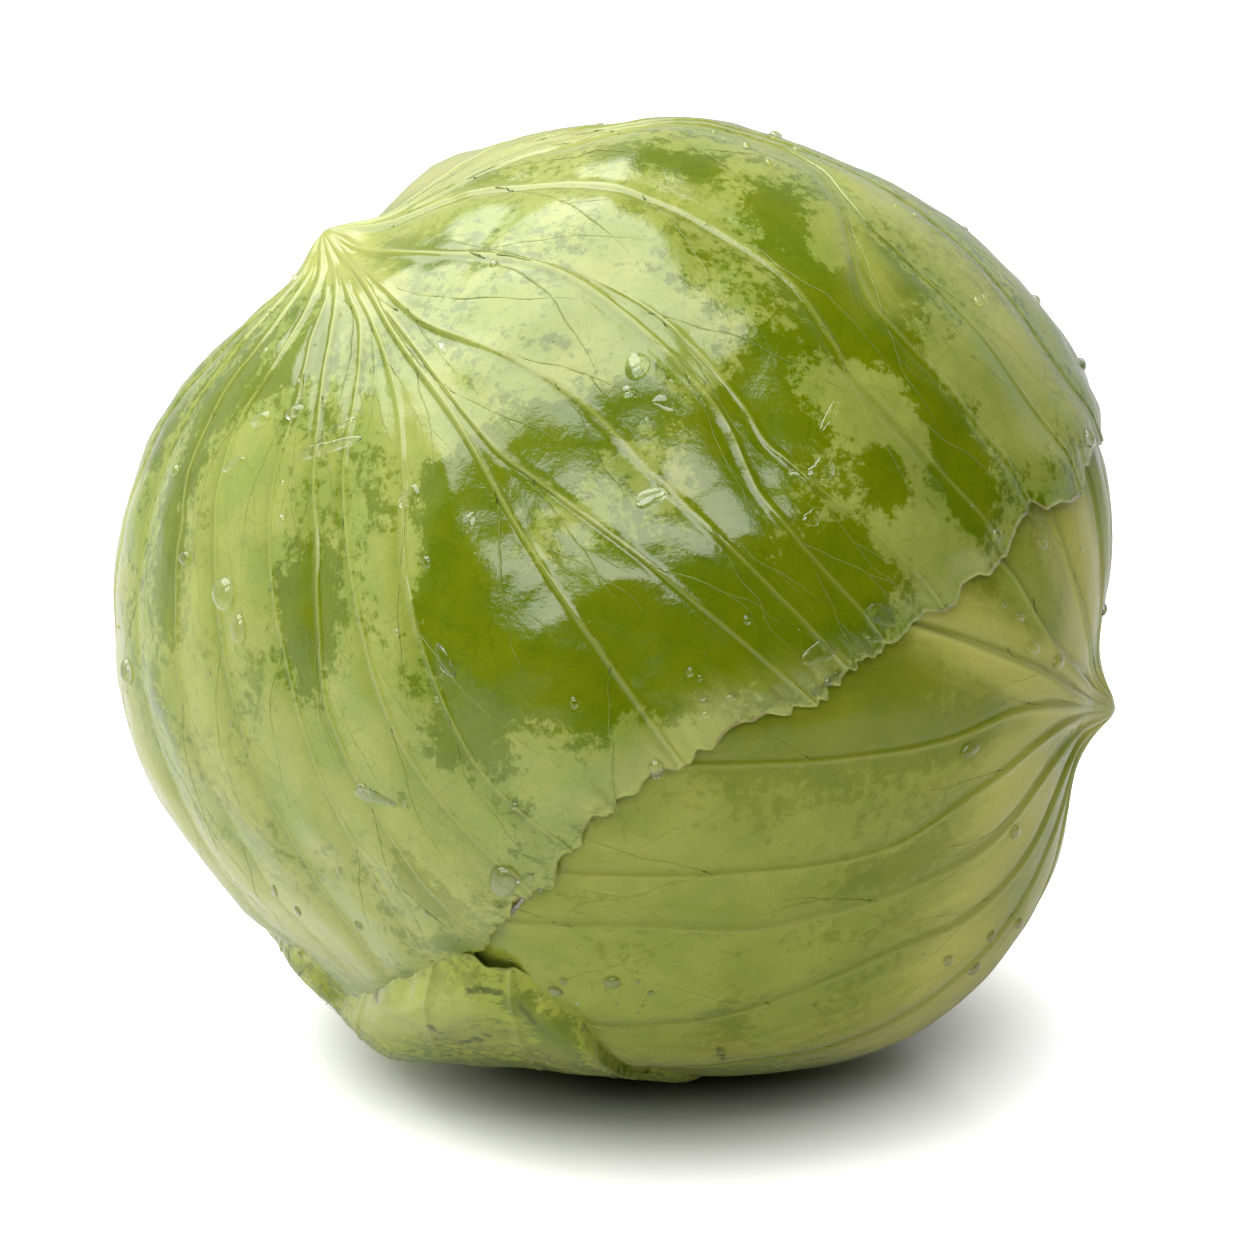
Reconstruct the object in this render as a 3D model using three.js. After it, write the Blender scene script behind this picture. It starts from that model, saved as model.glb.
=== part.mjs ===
// A white cabbage head lying on its side: a dense heart on a cut stem, wrapped in three outer leaves.
// Millimetres and degrees. +Z is up, the head lies on the plane z = 0, and the cut stem points back
// (+Y), a little to the right and a little up. Every leaf springs from the stem, runs out along the
// stem side to an elbow on the head's waist, and fans out from there over the far side.
import * as THREE from "three";

// The head as a whole.
const heartRadius = 84; // from the middle of the head to the heart's skin, at the waist
const poleShare = 0.96; // radius along the stem axis, over the radius at the waist
const middleHeight = 84.6; // the middle of the head above the surface it lies on
const stemTurn = 17; // stem axis, turned from +Y towards +X
const stemRise = 17; // stem axis, above level

// Leaf blades and how they are stacked.
const bladeThickness = 1.0;
const layerPitch = 2.7; // one leaf and the room its pressed ribs need under the next leaf
const skinGap = 0.7; // clear space between a leaf and what it lies on
const drapeReach = 1.5; // degrees by which a leaf's cover carries on past its edge
const drapeFade = 9; // degrees over which a leaf comes down past the edge of the leaf below it
const edgeZone = 12; // degrees inside the edge where a blade starts to lift
const edgeLift = 1.2;
const pressedRelief = 0.3; // share of its relief that a covered blade keeps
const pressedFrom = -3; // degrees past a leaf's edge where the blade under it starts to rise free
const pressedTo = 5;

// Ribs and the puffed blade between them.
const ribHalfWidth = 2;
const ribFoot = 3; // from a rib's crest to where it meets the blade
const ribFootShare = 0.36; // the foot's largest share of the way to the next rib
const ribSlimming = 0.6; // share of a rib's size that is lost between elbow and edge
const puffWidth = 6;
const puffStart = 20; // degrees from the elbow over which the blade comes to its full puff
const puffEnd = 5; // degrees from the edge
const broadRibHeight = 1.1; // the flat rib that runs out of an elbow
const broadRibHalfWidth = 4.5;
const broadRibReach = 48; // degrees

// Elbow, leaf stalk and stem.
const elbowHeight = 4;
const elbowWidth = 5; // degrees
const stalkHeight = 3.2;
const stalkHalfWidth = 9;
const stalkStart = 4; // degrees from the elbow over which the stalk comes to its full height
const stalkFull = 30;
const stumpRadius = 14;
const stumpFoot = 70; // inner end of the stump, from the middle of the head
const stumpLength = 19;
const stumpRounding = 1.5;
const stumpTaper = 0.8; // radius at its inner end, over its radius
const stumpSides = 20;
const stumpSeat = [18, 12]; // degrees from the stem over which the heart comes down to the stump

// The heart's own wrapped leaves.
const heartLeaves = 3;
const heartLeafStep = 1.5; // from one wrapped leaf's edge down to the next
const heartLeafSlant = 0.3; // turns that an edge drifts between stem and apex

// How the underside is pressed flat by the surface.
const pressedRise = -0.3; // only directions that point down more than this are pressed
const pressedSoftness = 1.5;
const pressedDrop = 0.3; // how much lower than the surface the lowest leaf would come
const flatSpot = 0.9; // what comes this close to the surface lies flat on it

// Mesh fineness.
const rows = 13; // steps from elbow to edge
const columnStep = 9; // widest step between two ribs at the leaf's edge, degrees round the elbow
const heartColumns = 45;
const heartRows = 22;
const edgeAt = 100; // the reach at which a column's bearing at the edge is read

// Finish.
const heartColour = 0xcfd89a;
const stumpColour = 0xd9d7ae;
const leafRoughness = 0.5;
const stumpRoughness = 0.7;

const radians = THREE.MathUtils.degToRad;
const degrees = THREE.MathUtils.radToDeg;

// Directions.
const stemAxis = new THREE.Vector3(
  Math.sin(radians(stemTurn)) * Math.cos(radians(stemRise)),
  Math.cos(radians(stemTurn)) * Math.cos(radians(stemRise)),
  Math.sin(radians(stemRise)),
);
const apexAxis = stemAxis.clone().negate();
const upright = new THREE.Vector3(0, 0, 1).addScaledVector(stemAxis, -stemAxis.z).normalize();
const sideways = new THREE.Vector3().crossVectors(stemAxis, upright);

// A direction given by its turn round the stem axis and its angle from the stem.
function headDirection(turn, fromStem) {
  const ring = upright
    .clone()
    .multiplyScalar(Math.cos(radians(turn)))
    .addScaledVector(sideways, Math.sin(radians(turn)));
  return stemAxis
    .clone()
    .multiplyScalar(Math.cos(radians(fromStem)))
    .addScaledVector(ring, Math.sin(radians(fromStem)));
}

// A direction given by its compass bearing from the front (0 is -Y, 90 is +X) and its rise.
function roomDirection(bearing, rise) {
  return new THREE.Vector3(
    Math.sin(radians(bearing)) * Math.cos(radians(rise)),
    -Math.cos(radians(bearing)) * Math.cos(radians(rise)),
    Math.sin(radians(rise)),
  );
}

// Smooth curves through a few points.
function smoothStep(from, to, x) {
  const t = THREE.MathUtils.clamp((x - from) / (to - from), 0, 1);
  return t * t * (3 - 2 * t);
}

// The value at x of a smooth curve through points [x, value], level past both ends.
function curveThrough(points, x) {
  const last = points.length - 1;
  if (x <= points[0][0]) return points[0][1];
  if (x >= points[last][0]) return points[last][1];
  let i = 0;
  while (points[i + 1][0] < x) i++;
  const slope = (k) => {
    const a = points[Math.max(k - 1, 0)];
    const b = points[Math.min(k + 1, last)];
    return (b[1] - a[1]) / (b[0] - a[0]);
  };
  const [x0, y0] = points[i];
  const [x1, y1] = points[i + 1];
  const span = x1 - x0;
  const t = (x - x0) / span;
  const rise = y1 - y0;
  return (
    y0 +
    rise * t * t * (3 - 2 * t) +
    span * (slope(i) * t * (1 - t) * (1 - t) - slope(i + 1) * t * t * (1 - t))
  );
}

// The ball that the heart fills.
// Swellings and flats of the ball: where each lies, how far it stands out and how wide it is.
const swellings = [
  { at: roomDirection(-88, -5), height: 5.4, width: 32 }, // full left side
  { at: roomDirection(-111, 43), height: -7, width: 18 }, // flat shoulder beside an elbow
  { at: roomDirection(-92, 62), height: -2.5, width: 15 },
  { at: roomDirection(92, 17), height: 3.7, width: 55 },
  { at: roomDirection(130, 60), height: -3, width: 13 },
  { at: roomDirection(87, -7), height: -7, width: 17 }, // flat round the right elbow
  { at: roomDirection(66, -46), height: 6.8, width: 25 }, // full lower right
  { at: roomDirection(-12, -57), height: -3.3, width: 37 },
  { at: roomDirection(-55, -56), height: 5.2, width: 11 },
];

function ballRadius(direction) {
  const axial = direction.dot(stemAxis);
  let radius = heartRadius * (1 - (1 - poleShare) * axial * axial);
  for (const { at, height, width } of swellings) {
    const away = degrees(direction.angleTo(at)) / width;
    radius += height * Math.exp(-away * away);
  }
  return radius;
}

// Leaves, from the heart outwards.
// turn and fromStem place the elbow. ribHeight is how far ribs stand up, and puffHeight is how far the
// blade between them does. edge is the reach of the blade from the elbow, in degrees of arc, against
// the bearing round the elbow: 0 points to the head's apex and 180 to the stem. Each rib is the line
// [reach, bearing] that it follows, and broadRib is the line of the flat rib at the elbow.
const leaves = [
  {
    name: "right_leaf",
    turn: 97,
    fromStem: 90,
    ribHeight: 0.4,
    puffHeight: 1.9,
    colour: 0x8f9f4c,
    edge: [
      [-180, 78], [-150, 84], [-115, 86], [-80, 92], [-45, 98], [-15, 97], [2, 92], [12, 96], [30, 98],
      [60, 96], [90, 92], [125, 86], [155, 82],
    ],
    broadRib: [[0, -38], [12, -42], [24, -45], [45, -48]],
    ribs: [
      [[0, -40], [12, -41], [24, -45], [45, -46], [97, -42]],
      [[0, -36], [10, -37], [24, -35], [36, -28], [49, -25], [68, -23], [97, -20]],
      [[0, -30], [12, -29], [19, -25], [31, -15], [42, -8], [61, -8], [95, -6]],
      [[0, -20], [15, -12], [26, 1], [37, 3], [56, 3], [71, 1], [95, 3]],
      [[0, 0], [11, 6], [18, 18], [29, 22], [41, 18], [63, 22], [95, 25]],
      [[0, 20], [15, 34], [30, 40], [60, 42], [95, 44]],
      [[0, 45], [20, 60], [50, 66], [95, 66]],
      [[0, 75], [20, 88], [90, 92]],
      [[0, 105], [80, 120]],
      [[0, 135], [80, 148]],
      [[0, -50], [21, -53], [34, -62], [60, -68], [95, -70]],
      [[0, -62], [21, -74], [50, -90], [90, -94]],
      [[0, -85], [30, -104], [85, -118]],
      [[0, -120], [80, -148]],
    ],
  },
  {
    name: "front_leaf",
    turn: -32,
    fromStem: 89.5,
    ribHeight: 1.4,
    puffHeight: 0.5,
    colour: 0x8fae3c,
    edge: [
      [-180, 78], [-150, 84], [-115, 92], [-80, 96], [-65, 100], [-52, 105], [-42, 108], [-32, 107],
      [-22, 103], [-12, 101], [-5, 99.5], [-1, 96.5], [2, 92.5], [9, 91], [15, 88.5], [20, 86],
      [30, 86.5], [36, 86.5], [40, 87.5], [46, 90.5], [55, 91], [61, 92], [66, 94], [72, 95], [79, 94],
      [84, 96.5], [88, 98.5], [97, 98.5], [104, 100], [113, 104], [135, 95], [157, 84],
    ],
    ribs: [
      [[0, 34], [14, 36], [26, 34], [42, 34], [58, 32], [87, 31]],
      [[0, 37], [26, 36], [47, 36], [54, 38], [65, 41], [75, 43], [91, 46]],
      [[0, 40], [20, 40], [27, 41], [36, 45], [47, 49], [63, 49], [91, 51]],
      [[0, 48], [8, 51], [20, 60], [27, 64], [39, 65], [50, 63], [62, 60], [71, 56], [91, 56]],
      [[0, 52], [8, 54], [20, 63], [39, 68], [50, 66], [62, 63], [68, 61], [92, 64]],
      [[0, 84], [13, 97], [19, 96], [28, 92], [39, 88], [49, 85], [58, 82], [71, 75], [96, 74]],
      [[0, 98], [20, 112], [40, 116], [52, 113], [57, 108], [61, 98], [65, 88], [71, 84], [97, 81]],
      [[0, 104], [20, 116], [40, 119], [52, 116], [57, 112], [61, 103], [65, 98], [83, 92], [100, 90]],
      [[0, 114], [20, 124], [50, 122], [73, 111], [91, 102], [104, 104]],
      [[0, 126], [50, 134], [104, 124]],
      [[0, 145], [90, 150]],
      [[0, 30], [20, 31], [26, 30], [35, 27], [44, 22], [53, 16], [74, 12], [88, 15]],
      [[0, 26], [14, 28], [22, 27], [31, 19], [37, 13], [45, 9], [68, 5], [90, 8]],
      [[0, 22], [13, 23], [26, 13], [37, 6], [45, 3], [54, -1], [63, -4], [93, -2]],
      [[0, 17], [13, 18], [20, 10], [26, 6], [37, -4], [54, -8], [94, -11]],
      [[0, 8], [12, 8], [21, -5], [26, -14], [35, -19], [48, -20], [95, -21]],
      [[0, -6], [14, -14], [24, -28], [40, -31], [95, -32]],
      [[0, -24], [22, -42], [33, -47], [60, -44], [96, -45]],
      [[0, -48], [25, -64], [60, -66], [96, -64]],
      [[0, -75], [25, -88], [92, -88]],
      [[0, -105], [90, -115]],
      [[0, -140], [84, -150]],
    ],
  },
  {
    name: "low_leaf",
    turn: 190,
    fromStem: 72,
    ribHeight: 0.9,
    puffHeight: 0.9,
    colour: 0xb4c26a,
    edge: [
      [-180, 60], [-150, 64], [-110, 63], [-80, 57], [-60, 53], [-42, 50], [-31, 51], [-24, 57], [-19, 66],
      [-16, 75], [-13, 87], [-10, 93], [-7, 97], [-3, 99.5], [0, 101], [3, 99.5], [6, 96], [9, 91.5],
      [13, 83], [18, 76], [24, 72], [31, 70], [38, 66], [50, 63], [80, 66], [120, 68], [155, 64],
    ],
    ribs: [
      [[0, -6], [40, -6], [101, -4]],
      [[0, 6], [20, 8], [60, 7], [98, 5]],
      [[0, 18], [20, 22], [50, 20], [86, 15]],
      [[0, 34], [20, 40], [80, 32]],
      [[0, 60], [66, 62]],
      [[0, 90], [66, 94]],
      [[0, 128], [66, 140]],
      [[0, -16], [20, -20], [60, -16], [90, -13]],
      [[0, -30], [20, -38], [50, -36], [74, -27]],
      [[0, -60], [66, -60]],
      [[0, -92], [66, -96]],
      [[0, -130], [66, -142]],
    ],
  },
];

for (const leaf of leaves) {
  leaf.elbow = headDirection(leaf.turn, leaf.fromStem);
  leaf.ahead = apexAxis.clone().addScaledVector(leaf.elbow, -apexAxis.dot(leaf.elbow)).normalize();
  leaf.across = new THREE.Vector3().crossVectors(leaf.elbow, leaf.ahead);
  const wrap = (shift) => leaf.edge.map(([bearing, reach]) => [bearing + shift, reach]);
  leaf.edgeAround = [...wrap(-360), ...leaf.edge, ...wrap(360)];
  leaf.ribs.sort((a, b) => a.at(-1)[1] - b.at(-1)[1]);
}

// The direction at a reach and bearing from a leaf's elbow, and the other way round.
function onLeaf(leaf, reach, bearing) {
  return leaf.elbow
    .clone()
    .multiplyScalar(Math.cos(radians(reach)))
    .addScaledVector(leaf.ahead, Math.sin(radians(reach)) * Math.cos(radians(bearing)))
    .addScaledVector(leaf.across, Math.sin(radians(reach)) * Math.sin(radians(bearing)));
}

function leafReach(leaf, direction) {
  return degrees(direction.angleTo(leaf.elbow));
}

function leafBearing(leaf, direction) {
  return degrees(Math.atan2(direction.dot(leaf.across), direction.dot(leaf.ahead)));
}

const edgeReach = (leaf, bearing) => curveThrough(leaf.edgeAround, bearing);

// The small waves of a leaf's edge, in degrees of reach.
function edgeWave(bearing) {
  return 0.8 * Math.sin(radians(bearing * 13)) + 0.5 * Math.sin(radians(bearing * 23 + 40));
}

// 1 where the leaf lies, falling to 0 past its edge.
function cover(leaf, direction) {
  const edge = edgeReach(leaf, leafBearing(leaf, direction)) + drapeReach;
  return 1 - smoothStep(edge, edge + drapeFade, leafReach(leaf, direction));
}

// 0 at a leaf's edge and 1 well inside it.
function depthInside(leaf, direction) {
  const edge = edgeReach(leaf, leafBearing(leaf, direction));
  return 1 - smoothStep(edge - edgeZone, edge - 1, leafReach(leaf, direction));
}

// The elbow and the thick stalk that runs from it back to the stem.
function elbowAndStalk(leaf, direction) {
  const reach = leafReach(leaf, direction);
  const bearing = radians(leafBearing(leaf, direction));
  const elbow = elbowHeight * Math.exp(-((reach / elbowWidth) ** 2));
  if (Math.cos(bearing) > 0) return elbow;
  const aside = heartRadius * Math.sin(radians(reach)) * Math.sin(bearing);
  const height = stalkHeight * smoothStep(stalkStart, stalkFull, reach);
  const stalk = height * Math.exp(-((aside / stalkHalfWidth) ** 2));
  return elbow + stalk * Math.cos(bearing) ** 2;
}

// The distance from a direction to a rib, in millimetres round the elbow.
function asideOfRib(leaf, rib, reach, bearing) {
  let turn = bearing - curveThrough(rib, reach);
  turn -= 360 * Math.round(turn / 360);
  return Math.abs(radians(turn)) * heartRadius * Math.sin(radians(Math.min(reach, 90)));
}

function relief(leaf, direction) {
  const reach = leafReach(leaf, direction);
  const bearing = leafBearing(leaf, direction);
  const edge = edgeReach(leaf, bearing);
  const aside = Math.min(...leaf.ribs.map((rib) => asideOfRib(leaf, rib, reach, bearing)));
  const slimming = 1 - ribSlimming * (reach / edge);
  const rib = leaf.ribHeight * slimming * Math.exp(-((aside / (ribHalfWidth * slimming)) ** 2));
  const puff = leaf.puffHeight * (1 - Math.exp(-((aside / puffWidth) ** 2)));
  const calmEnds = smoothStep(0, puffStart, reach) * (1 - smoothStep(edge - puffEnd, edge, reach));
  if (!leaf.broadRib) return rib + puff * calmEnds;
  const broadAside = asideOfRib(leaf, leaf.broadRib, reach, bearing) / broadRibHalfWidth;
  const broadHeight = broadRibHeight * (1 - smoothStep(0, broadRibReach, reach));
  return rib + puff * calmEnds + broadHeight * Math.exp(-(broadAside ** 2));
}

// How far a leaf's underside stands off the heart: over each leaf below it, and lifted at its edge.
function standOff(index, direction) {
  let height = skinGap;
  for (const below of leaves.slice(0, index)) {
    height += cover(below, direction) * (layerPitch + elbowAndStalk(below, direction));
  }
  return height + edgeLift * (1 - depthInside(leaves[index], direction)) * shown(index, direction);
}

// 1 where nothing lies over a leaf and 0 where another leaf presses on it.
function shown(index, direction) {
  let share = 1;
  for (const above of leaves.slice(index + 1)) {
    const edge = edgeReach(above, leafBearing(above, direction));
    share *= smoothStep(edge + pressedFrom, edge + pressedTo, leafReach(above, direction));
  }
  return share;
}

// Resting on the surface.
const restIndex = leaves.length - 1; // the leaf that the head lies on
const down = new THREE.Vector3(0, 0, -1);
const bedHeight = standOff(restIndex, down) + bladeThickness - pressedDrop;

// The ball with its underside pressed flat, as far above the surface as the leaves below it need.
function pressedRadius(direction) {
  const radius = ballRadius(direction);
  if (direction.z > pressedRise) return radius;
  const flat = (middleHeight - bedHeight) / -direction.z;
  const excess = radius - flat;
  return radius - 0.5 * (excess + Math.hypot(excess, pressedSoftness));
}

const middle = new THREE.Vector3(0, 0, middleHeight);

function point(direction, radius) {
  const p = middle.clone().addScaledVector(direction, radius);
  if (p.z < flatSpot) p.z = 0;
  return p;
}

// Solids.
function closedMesh(name, colour, positions, triangles) {
  const geometry = new THREE.BufferGeometry();
  const places = positions.flatMap((p) => p.toArray());
  geometry.setAttribute("position", new THREE.Float32BufferAttribute(places, 3));
  geometry.setIndex(triangles);
  geometry.computeVertexNormals();
  const material = new THREE.MeshStandardMaterial({ color: colour, roughness: leafRoughness, metalness: 0 });
  const mesh = new THREE.Mesh(geometry, material);
  mesh.name = name;
  return mesh;
}

// The lines that a leaf's columns follow: every rib, its two feet, and even steps between two ribs.
function leafColumns(leaf) {
  const columns = [];
  leaf.ribs.forEach((rib, i) => {
    const next = leaf.ribs[(i + 1) % leaf.ribs.length];
    const turn = i + 1 < leaf.ribs.length ? 0 : 360;
    const from = (reach) => curveThrough(rib, reach);
    const gap = (reach) => curveThrough(next, reach) + turn - from(reach);
    const foot = (reach) => {
      const round = heartRadius * Math.sin(radians(Math.min(reach, 90)));
      return Math.min(degrees(ribFoot / round), ribFootShare * gap(reach));
    };
    const between = (reach) => gap(reach) - 2 * foot(reach);
    const steps = Math.ceil(between(edgeAt) / columnStep);
    columns.push(from);
    for (let k = 0; k <= steps; k++) {
      columns.push((reach) => from(reach) + foot(reach) + (between(reach) * k) / steps);
    }
  });
  return columns;
}

function leafMesh(leaf, index) {
  const columns = leafColumns(leaf);
  const outer = [];
  const inner = [];
  const place = (reach, bearing) => {
    const direction = onLeaf(leaf, reach, bearing);
    const under = pressedRadius(direction) + standOff(index, direction);
    const free = pressedRelief + (1 - pressedRelief) * shown(index, direction);
    const bump = relief(leaf, direction) * free;
    outer.push(point(direction, under + bladeThickness + bump + elbowAndStalk(leaf, direction)));
    inner.push(point(direction, under));
  };
  place(0, 0);
  for (let row = 1; row <= rows; row++) {
    for (const column of columns) {
      const endBearing = column(edgeAt);
      const end = edgeReach(leaf, endBearing) + edgeWave(endBearing);
      const reach = (end * row) / rows;
      place(reach, column(reach));
    }
  }
  const count = columns.length;
  const at = (row, column) => (row === 0 ? 0 : 1 + (row - 1) * count + (column % count));
  const innerStart = outer.length;
  const triangles = [];
  for (let c = 0; c < count; c++) {
    for (let row = 0; row < rows; row++) {
      const a = at(row, c);
      const b = at(row + 1, c);
      const d = at(row + 1, c + 1);
      const e = at(row, c + 1);
      triangles.push(a, b, d, innerStart + a, innerStart + d, innerStart + b);
      if (row > 0) triangles.push(a, d, e, innerStart + a, innerStart + e, innerStart + d);
    }
    const rim = at(rows, c);
    const nextRim = at(rows, c + 1);
    triangles.push(rim, innerStart + rim, innerStart + nextRim, rim, innerStart + nextRim, nextRim);
  }
  return closedMesh(leaf.name, leaf.colour, [...outer, ...inner], triangles);
}

function heartMesh() {
  const positions = [];
  const place = (turn, fromStem) => {
    const direction = headDirection(turn, fromStem);
    const underStump = smoothStep(...stumpSeat, fromStem);
    const wrap = (heartLeaves * turn) / 360 + (heartLeafSlant * fromStem) / 180;
    const radius = pressedRadius(direction) - heartLeafStep * (wrap - Math.floor(wrap));
    positions.push(point(direction, radius + underStump * (stumpFoot - skinGap - radius)));
  };
  place(0, 0);
  for (let row = 1; row < heartRows; row++) {
    for (let c = 0; c < heartColumns; c++) place((c * 360) / heartColumns, (row * 180) / heartRows);
  }
  place(0, 180);
  const at = (row, c) => {
    if (row === 0) return 0;
    if (row === heartRows) return positions.length - 1;
    return 1 + (row - 1) * heartColumns + (c % heartColumns);
  };
  const triangles = [];
  for (let c = 0; c < heartColumns; c++) {
    for (let row = 0; row < heartRows; row++) {
      if (row < heartRows - 1) triangles.push(at(row, c), at(row + 1, c), at(row + 1, c + 1));
      if (row > 0) triangles.push(at(row, c), at(row + 1, c + 1), at(row, c + 1));
    }
  }
  return closedMesh("heart", heartColour, positions, triangles);
}

function stumpMesh() {
  const outline = [
    new THREE.Vector2(0, 0),
    new THREE.Vector2(stumpRadius * stumpTaper, 0),
    new THREE.Vector2(stumpRadius, stumpLength - stumpRounding),
    new THREE.Vector2(stumpRadius - stumpRounding, stumpLength),
    new THREE.Vector2(0, stumpLength),
  ];
  const mesh = new THREE.Mesh(
    new THREE.LatheGeometry(outline, stumpSides),
    new THREE.MeshStandardMaterial({ color: stumpColour, roughness: stumpRoughness, metalness: 0 }),
  );
  mesh.quaternion.setFromUnitVectors(new THREE.Vector3(0, 1, 0), stemAxis);
  mesh.position.copy(middle).addScaledVector(stemAxis, stumpFoot);
  mesh.name = "stem_stump";
  return mesh;
}

const cabbage = new THREE.Group();
cabbage.add(heartMesh(), stumpMesh(), ...leaves.map(leafMesh));
const boxMiddle = new THREE.Box3().setFromObject(cabbage, true).getCenter(new THREE.Vector3());
cabbage.position.set(-boxMiddle.x, -boxMiddle.y, 0); // the origin is the middle of the box's base

export default cabbage;
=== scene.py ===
import math

import bmesh
import bpy
import numpy as np
from mathutils import Matrix, Quaternion, Vector
from mathutils.bvhtree import BVHTree


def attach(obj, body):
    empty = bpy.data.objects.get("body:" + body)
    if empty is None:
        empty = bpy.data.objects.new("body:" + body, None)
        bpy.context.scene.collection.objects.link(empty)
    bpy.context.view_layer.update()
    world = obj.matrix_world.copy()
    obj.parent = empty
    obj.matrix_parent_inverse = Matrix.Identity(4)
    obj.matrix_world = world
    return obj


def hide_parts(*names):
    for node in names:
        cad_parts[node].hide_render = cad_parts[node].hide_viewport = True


# A white cabbage head, lying on its side. Sizes are in millimetres and angles in degrees, until toMetres.
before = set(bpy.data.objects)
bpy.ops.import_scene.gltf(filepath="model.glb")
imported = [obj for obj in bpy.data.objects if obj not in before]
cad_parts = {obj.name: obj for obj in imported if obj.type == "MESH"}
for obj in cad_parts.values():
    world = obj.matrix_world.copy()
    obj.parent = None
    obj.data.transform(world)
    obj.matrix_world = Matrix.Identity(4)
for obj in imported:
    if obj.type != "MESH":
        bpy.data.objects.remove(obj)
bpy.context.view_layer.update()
toMetres = 0.001
print("frame loaded")

head = dict(
    radius=84,  # from the middle to the heart's skin, at the waist
    poleShare=0.96,  # radius along the stem axis over the radius at the waist
    middle=(1.38, 0.32, 84.6),
    stemTurn=17, stemRise=17,  # stem axis: from +Y towards +X, and above level
    softness=1.5, flatDrop=0.3,  # how the underside is pressed flat
    ripple=((46, 0.9), (19, 0.45), (8, 0.13)),  # size and height of the lumps in the whole head
)

# where the ball swells or is flat: bearing from the front, rise, height and width
swellings = (
    (-88, -5, 5.4, 32), (-111, 43, -7, 18), (-92, 62, -2.5, 15), (92, 17, 3.7, 55), (130, 60, -3, 13),
    (87, -7, -7, 17), (66, -46, 6.8, 25), (-12, -57, -3.3, 37), (-55, -56, 5.2, 11),
)

stack = dict(
    blade=1.0, rim=0.3,  # thickness of a blade, inside and at its edge
    pitch=2.7, gap=0.7, edgeZone=12, pressed=0.3,
    elbowHeight=4, elbowWidth=5, stalkHeight=3.2, stalkHalfWidth=9,
    broadRibHeight=1.1, broadRibHalfWidth=4.5, broadRibReach=48,
)

# the front view: sizes in millimetres, and places in pixels from its upper left corner
view = dict(distance=720, rise=21, lens=114.3, pixel=0.18, middle=(620, 606), width=1260)
viewRise = math.radians(view["rise"])
viewRight = np.array([1.0, 0, 0])
viewUp = np.array([0, math.sin(viewRise), math.cos(viewRise)])
viewBack = np.array([0, -math.cos(viewRise), math.sin(viewRise)])


def unit(v):
    v = np.asarray(v, float)
    return v / np.linalg.norm(v, axis=-1, keepdims=True)


def smoothStep(low, high, x):
    t = np.clip((x - low) / (high - low), 0, 1)
    return t * t * (3 - 2 * t)


def bell(x):
    return np.exp(-x * x)


def curveThrough(points, x):  # smooth curve through [x, value] points, level past both ends
    px, py = np.array(points, float).T
    x = np.clip(x, px[0], px[-1])
    i = np.clip(np.searchsorted(px, x, side="left") - 1, 0, len(px) - 2)
    slopes = np.empty(len(px))
    slopes[1:-1] = (py[2:] - py[:-2]) / (px[2:] - px[:-2])
    slopes[0] = (py[1] - py[0]) / (px[1] - px[0])
    slopes[-1] = (py[-1] - py[-2]) / (px[-1] - px[-2])
    span = px[i + 1] - px[i]
    t = (x - px[i]) / span
    hump = span * (slopes[i] * t * (1 - t) ** 2 - slopes[i + 1] * t * t * (1 - t))
    return py[i] + (py[i + 1] - py[i]) * t * t * (3 - 2 * t) + hump


def lumps(places, size, seed):  # smooth random field between -1 and 1
    lattice = np.random.default_rng(seed).uniform(-1, 1, (32, 32, 32))
    q = places / size + 64
    cell = np.floor(q).astype(int)
    t = q - cell
    t = t * t * (3 - 2 * t)
    total = 0
    for corner in np.ndindex(2, 2, 2):
        share = np.prod([t[..., k] if corner[k] else 1 - t[..., k] for k in range(3)], axis=0)
        i, j, k = ((cell[..., n] + corner[n]) % 32 for n in range(3))
        total = total + share * lattice[i, j, k]
    return total


def inView(x, y):  # millimetres from the head's middle, in the plane that faces the camera
    across, down = view["middle"]
    return (x - across) * view["pixel"] * viewRight + (down - y) * view["pixel"] * viewUp


eye = inView(view["width"] / 2, view["width"] / 2) + view["distance"] * viewBack


def onBall(x, y, radius):  # direction from the middle to where the view through x, y meets a ball
    ray = unit(inView(x, y) - eye)
    near = eye @ ray
    depth = max(near ** 2 - eye @ eye + radius ** 2, 0)
    return unit(eye + ray * (-near - math.sqrt(depth)))


def roomDirection(bearing, rise):
    b, r = math.radians(bearing), math.radians(rise)
    return np.array([math.sin(b) * math.cos(r), -math.cos(b) * math.cos(r), math.sin(r)])


stemAxis = roomDirection(180 - head["stemTurn"], head["stemRise"])
upright = unit(np.array([0, 0, 1]) - stemAxis[2] * stemAxis)
sideways = np.cross(stemAxis, upright)


def headDirection(turn, fromStem):
    t, f = np.radians(turn), np.radians(fromStem)
    ring = np.multiply.outer(np.cos(t), upright) + np.multiply.outer(np.sin(t), sideways)
    return np.cos(f)[..., None] * stemAxis + np.sin(f)[..., None] * ring


def angleBetween(d, axis):
    return np.degrees(np.arccos(np.clip(d @ axis, -1, 1)))


def ballRadius(d):
    radius = head["radius"] * (1 - (1 - head["poleShare"]) * (d @ stemAxis) ** 2)
    for bearing, rise, height, width in swellings:
        radius = radius + height * bell(angleBetween(d, roomDirection(bearing, rise)) / width)
    for seed, (size, height) in enumerate(head["ripple"]):
        radius = radius + height * lumps(d * head["radius"], size, seed + 3)
    return radius


def pressedRadius(d, bedHeight):
    radius = ballRadius(d)
    flat = (head["middle"][2] - bedHeight) / np.maximum(-d[..., 2], 0.3)
    excess = radius - flat
    pressed = radius - 0.5 * (excess + np.hypot(excess, head["softness"]))
    return np.where(d[..., 2] > -0.3, radius, pressed)


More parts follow.
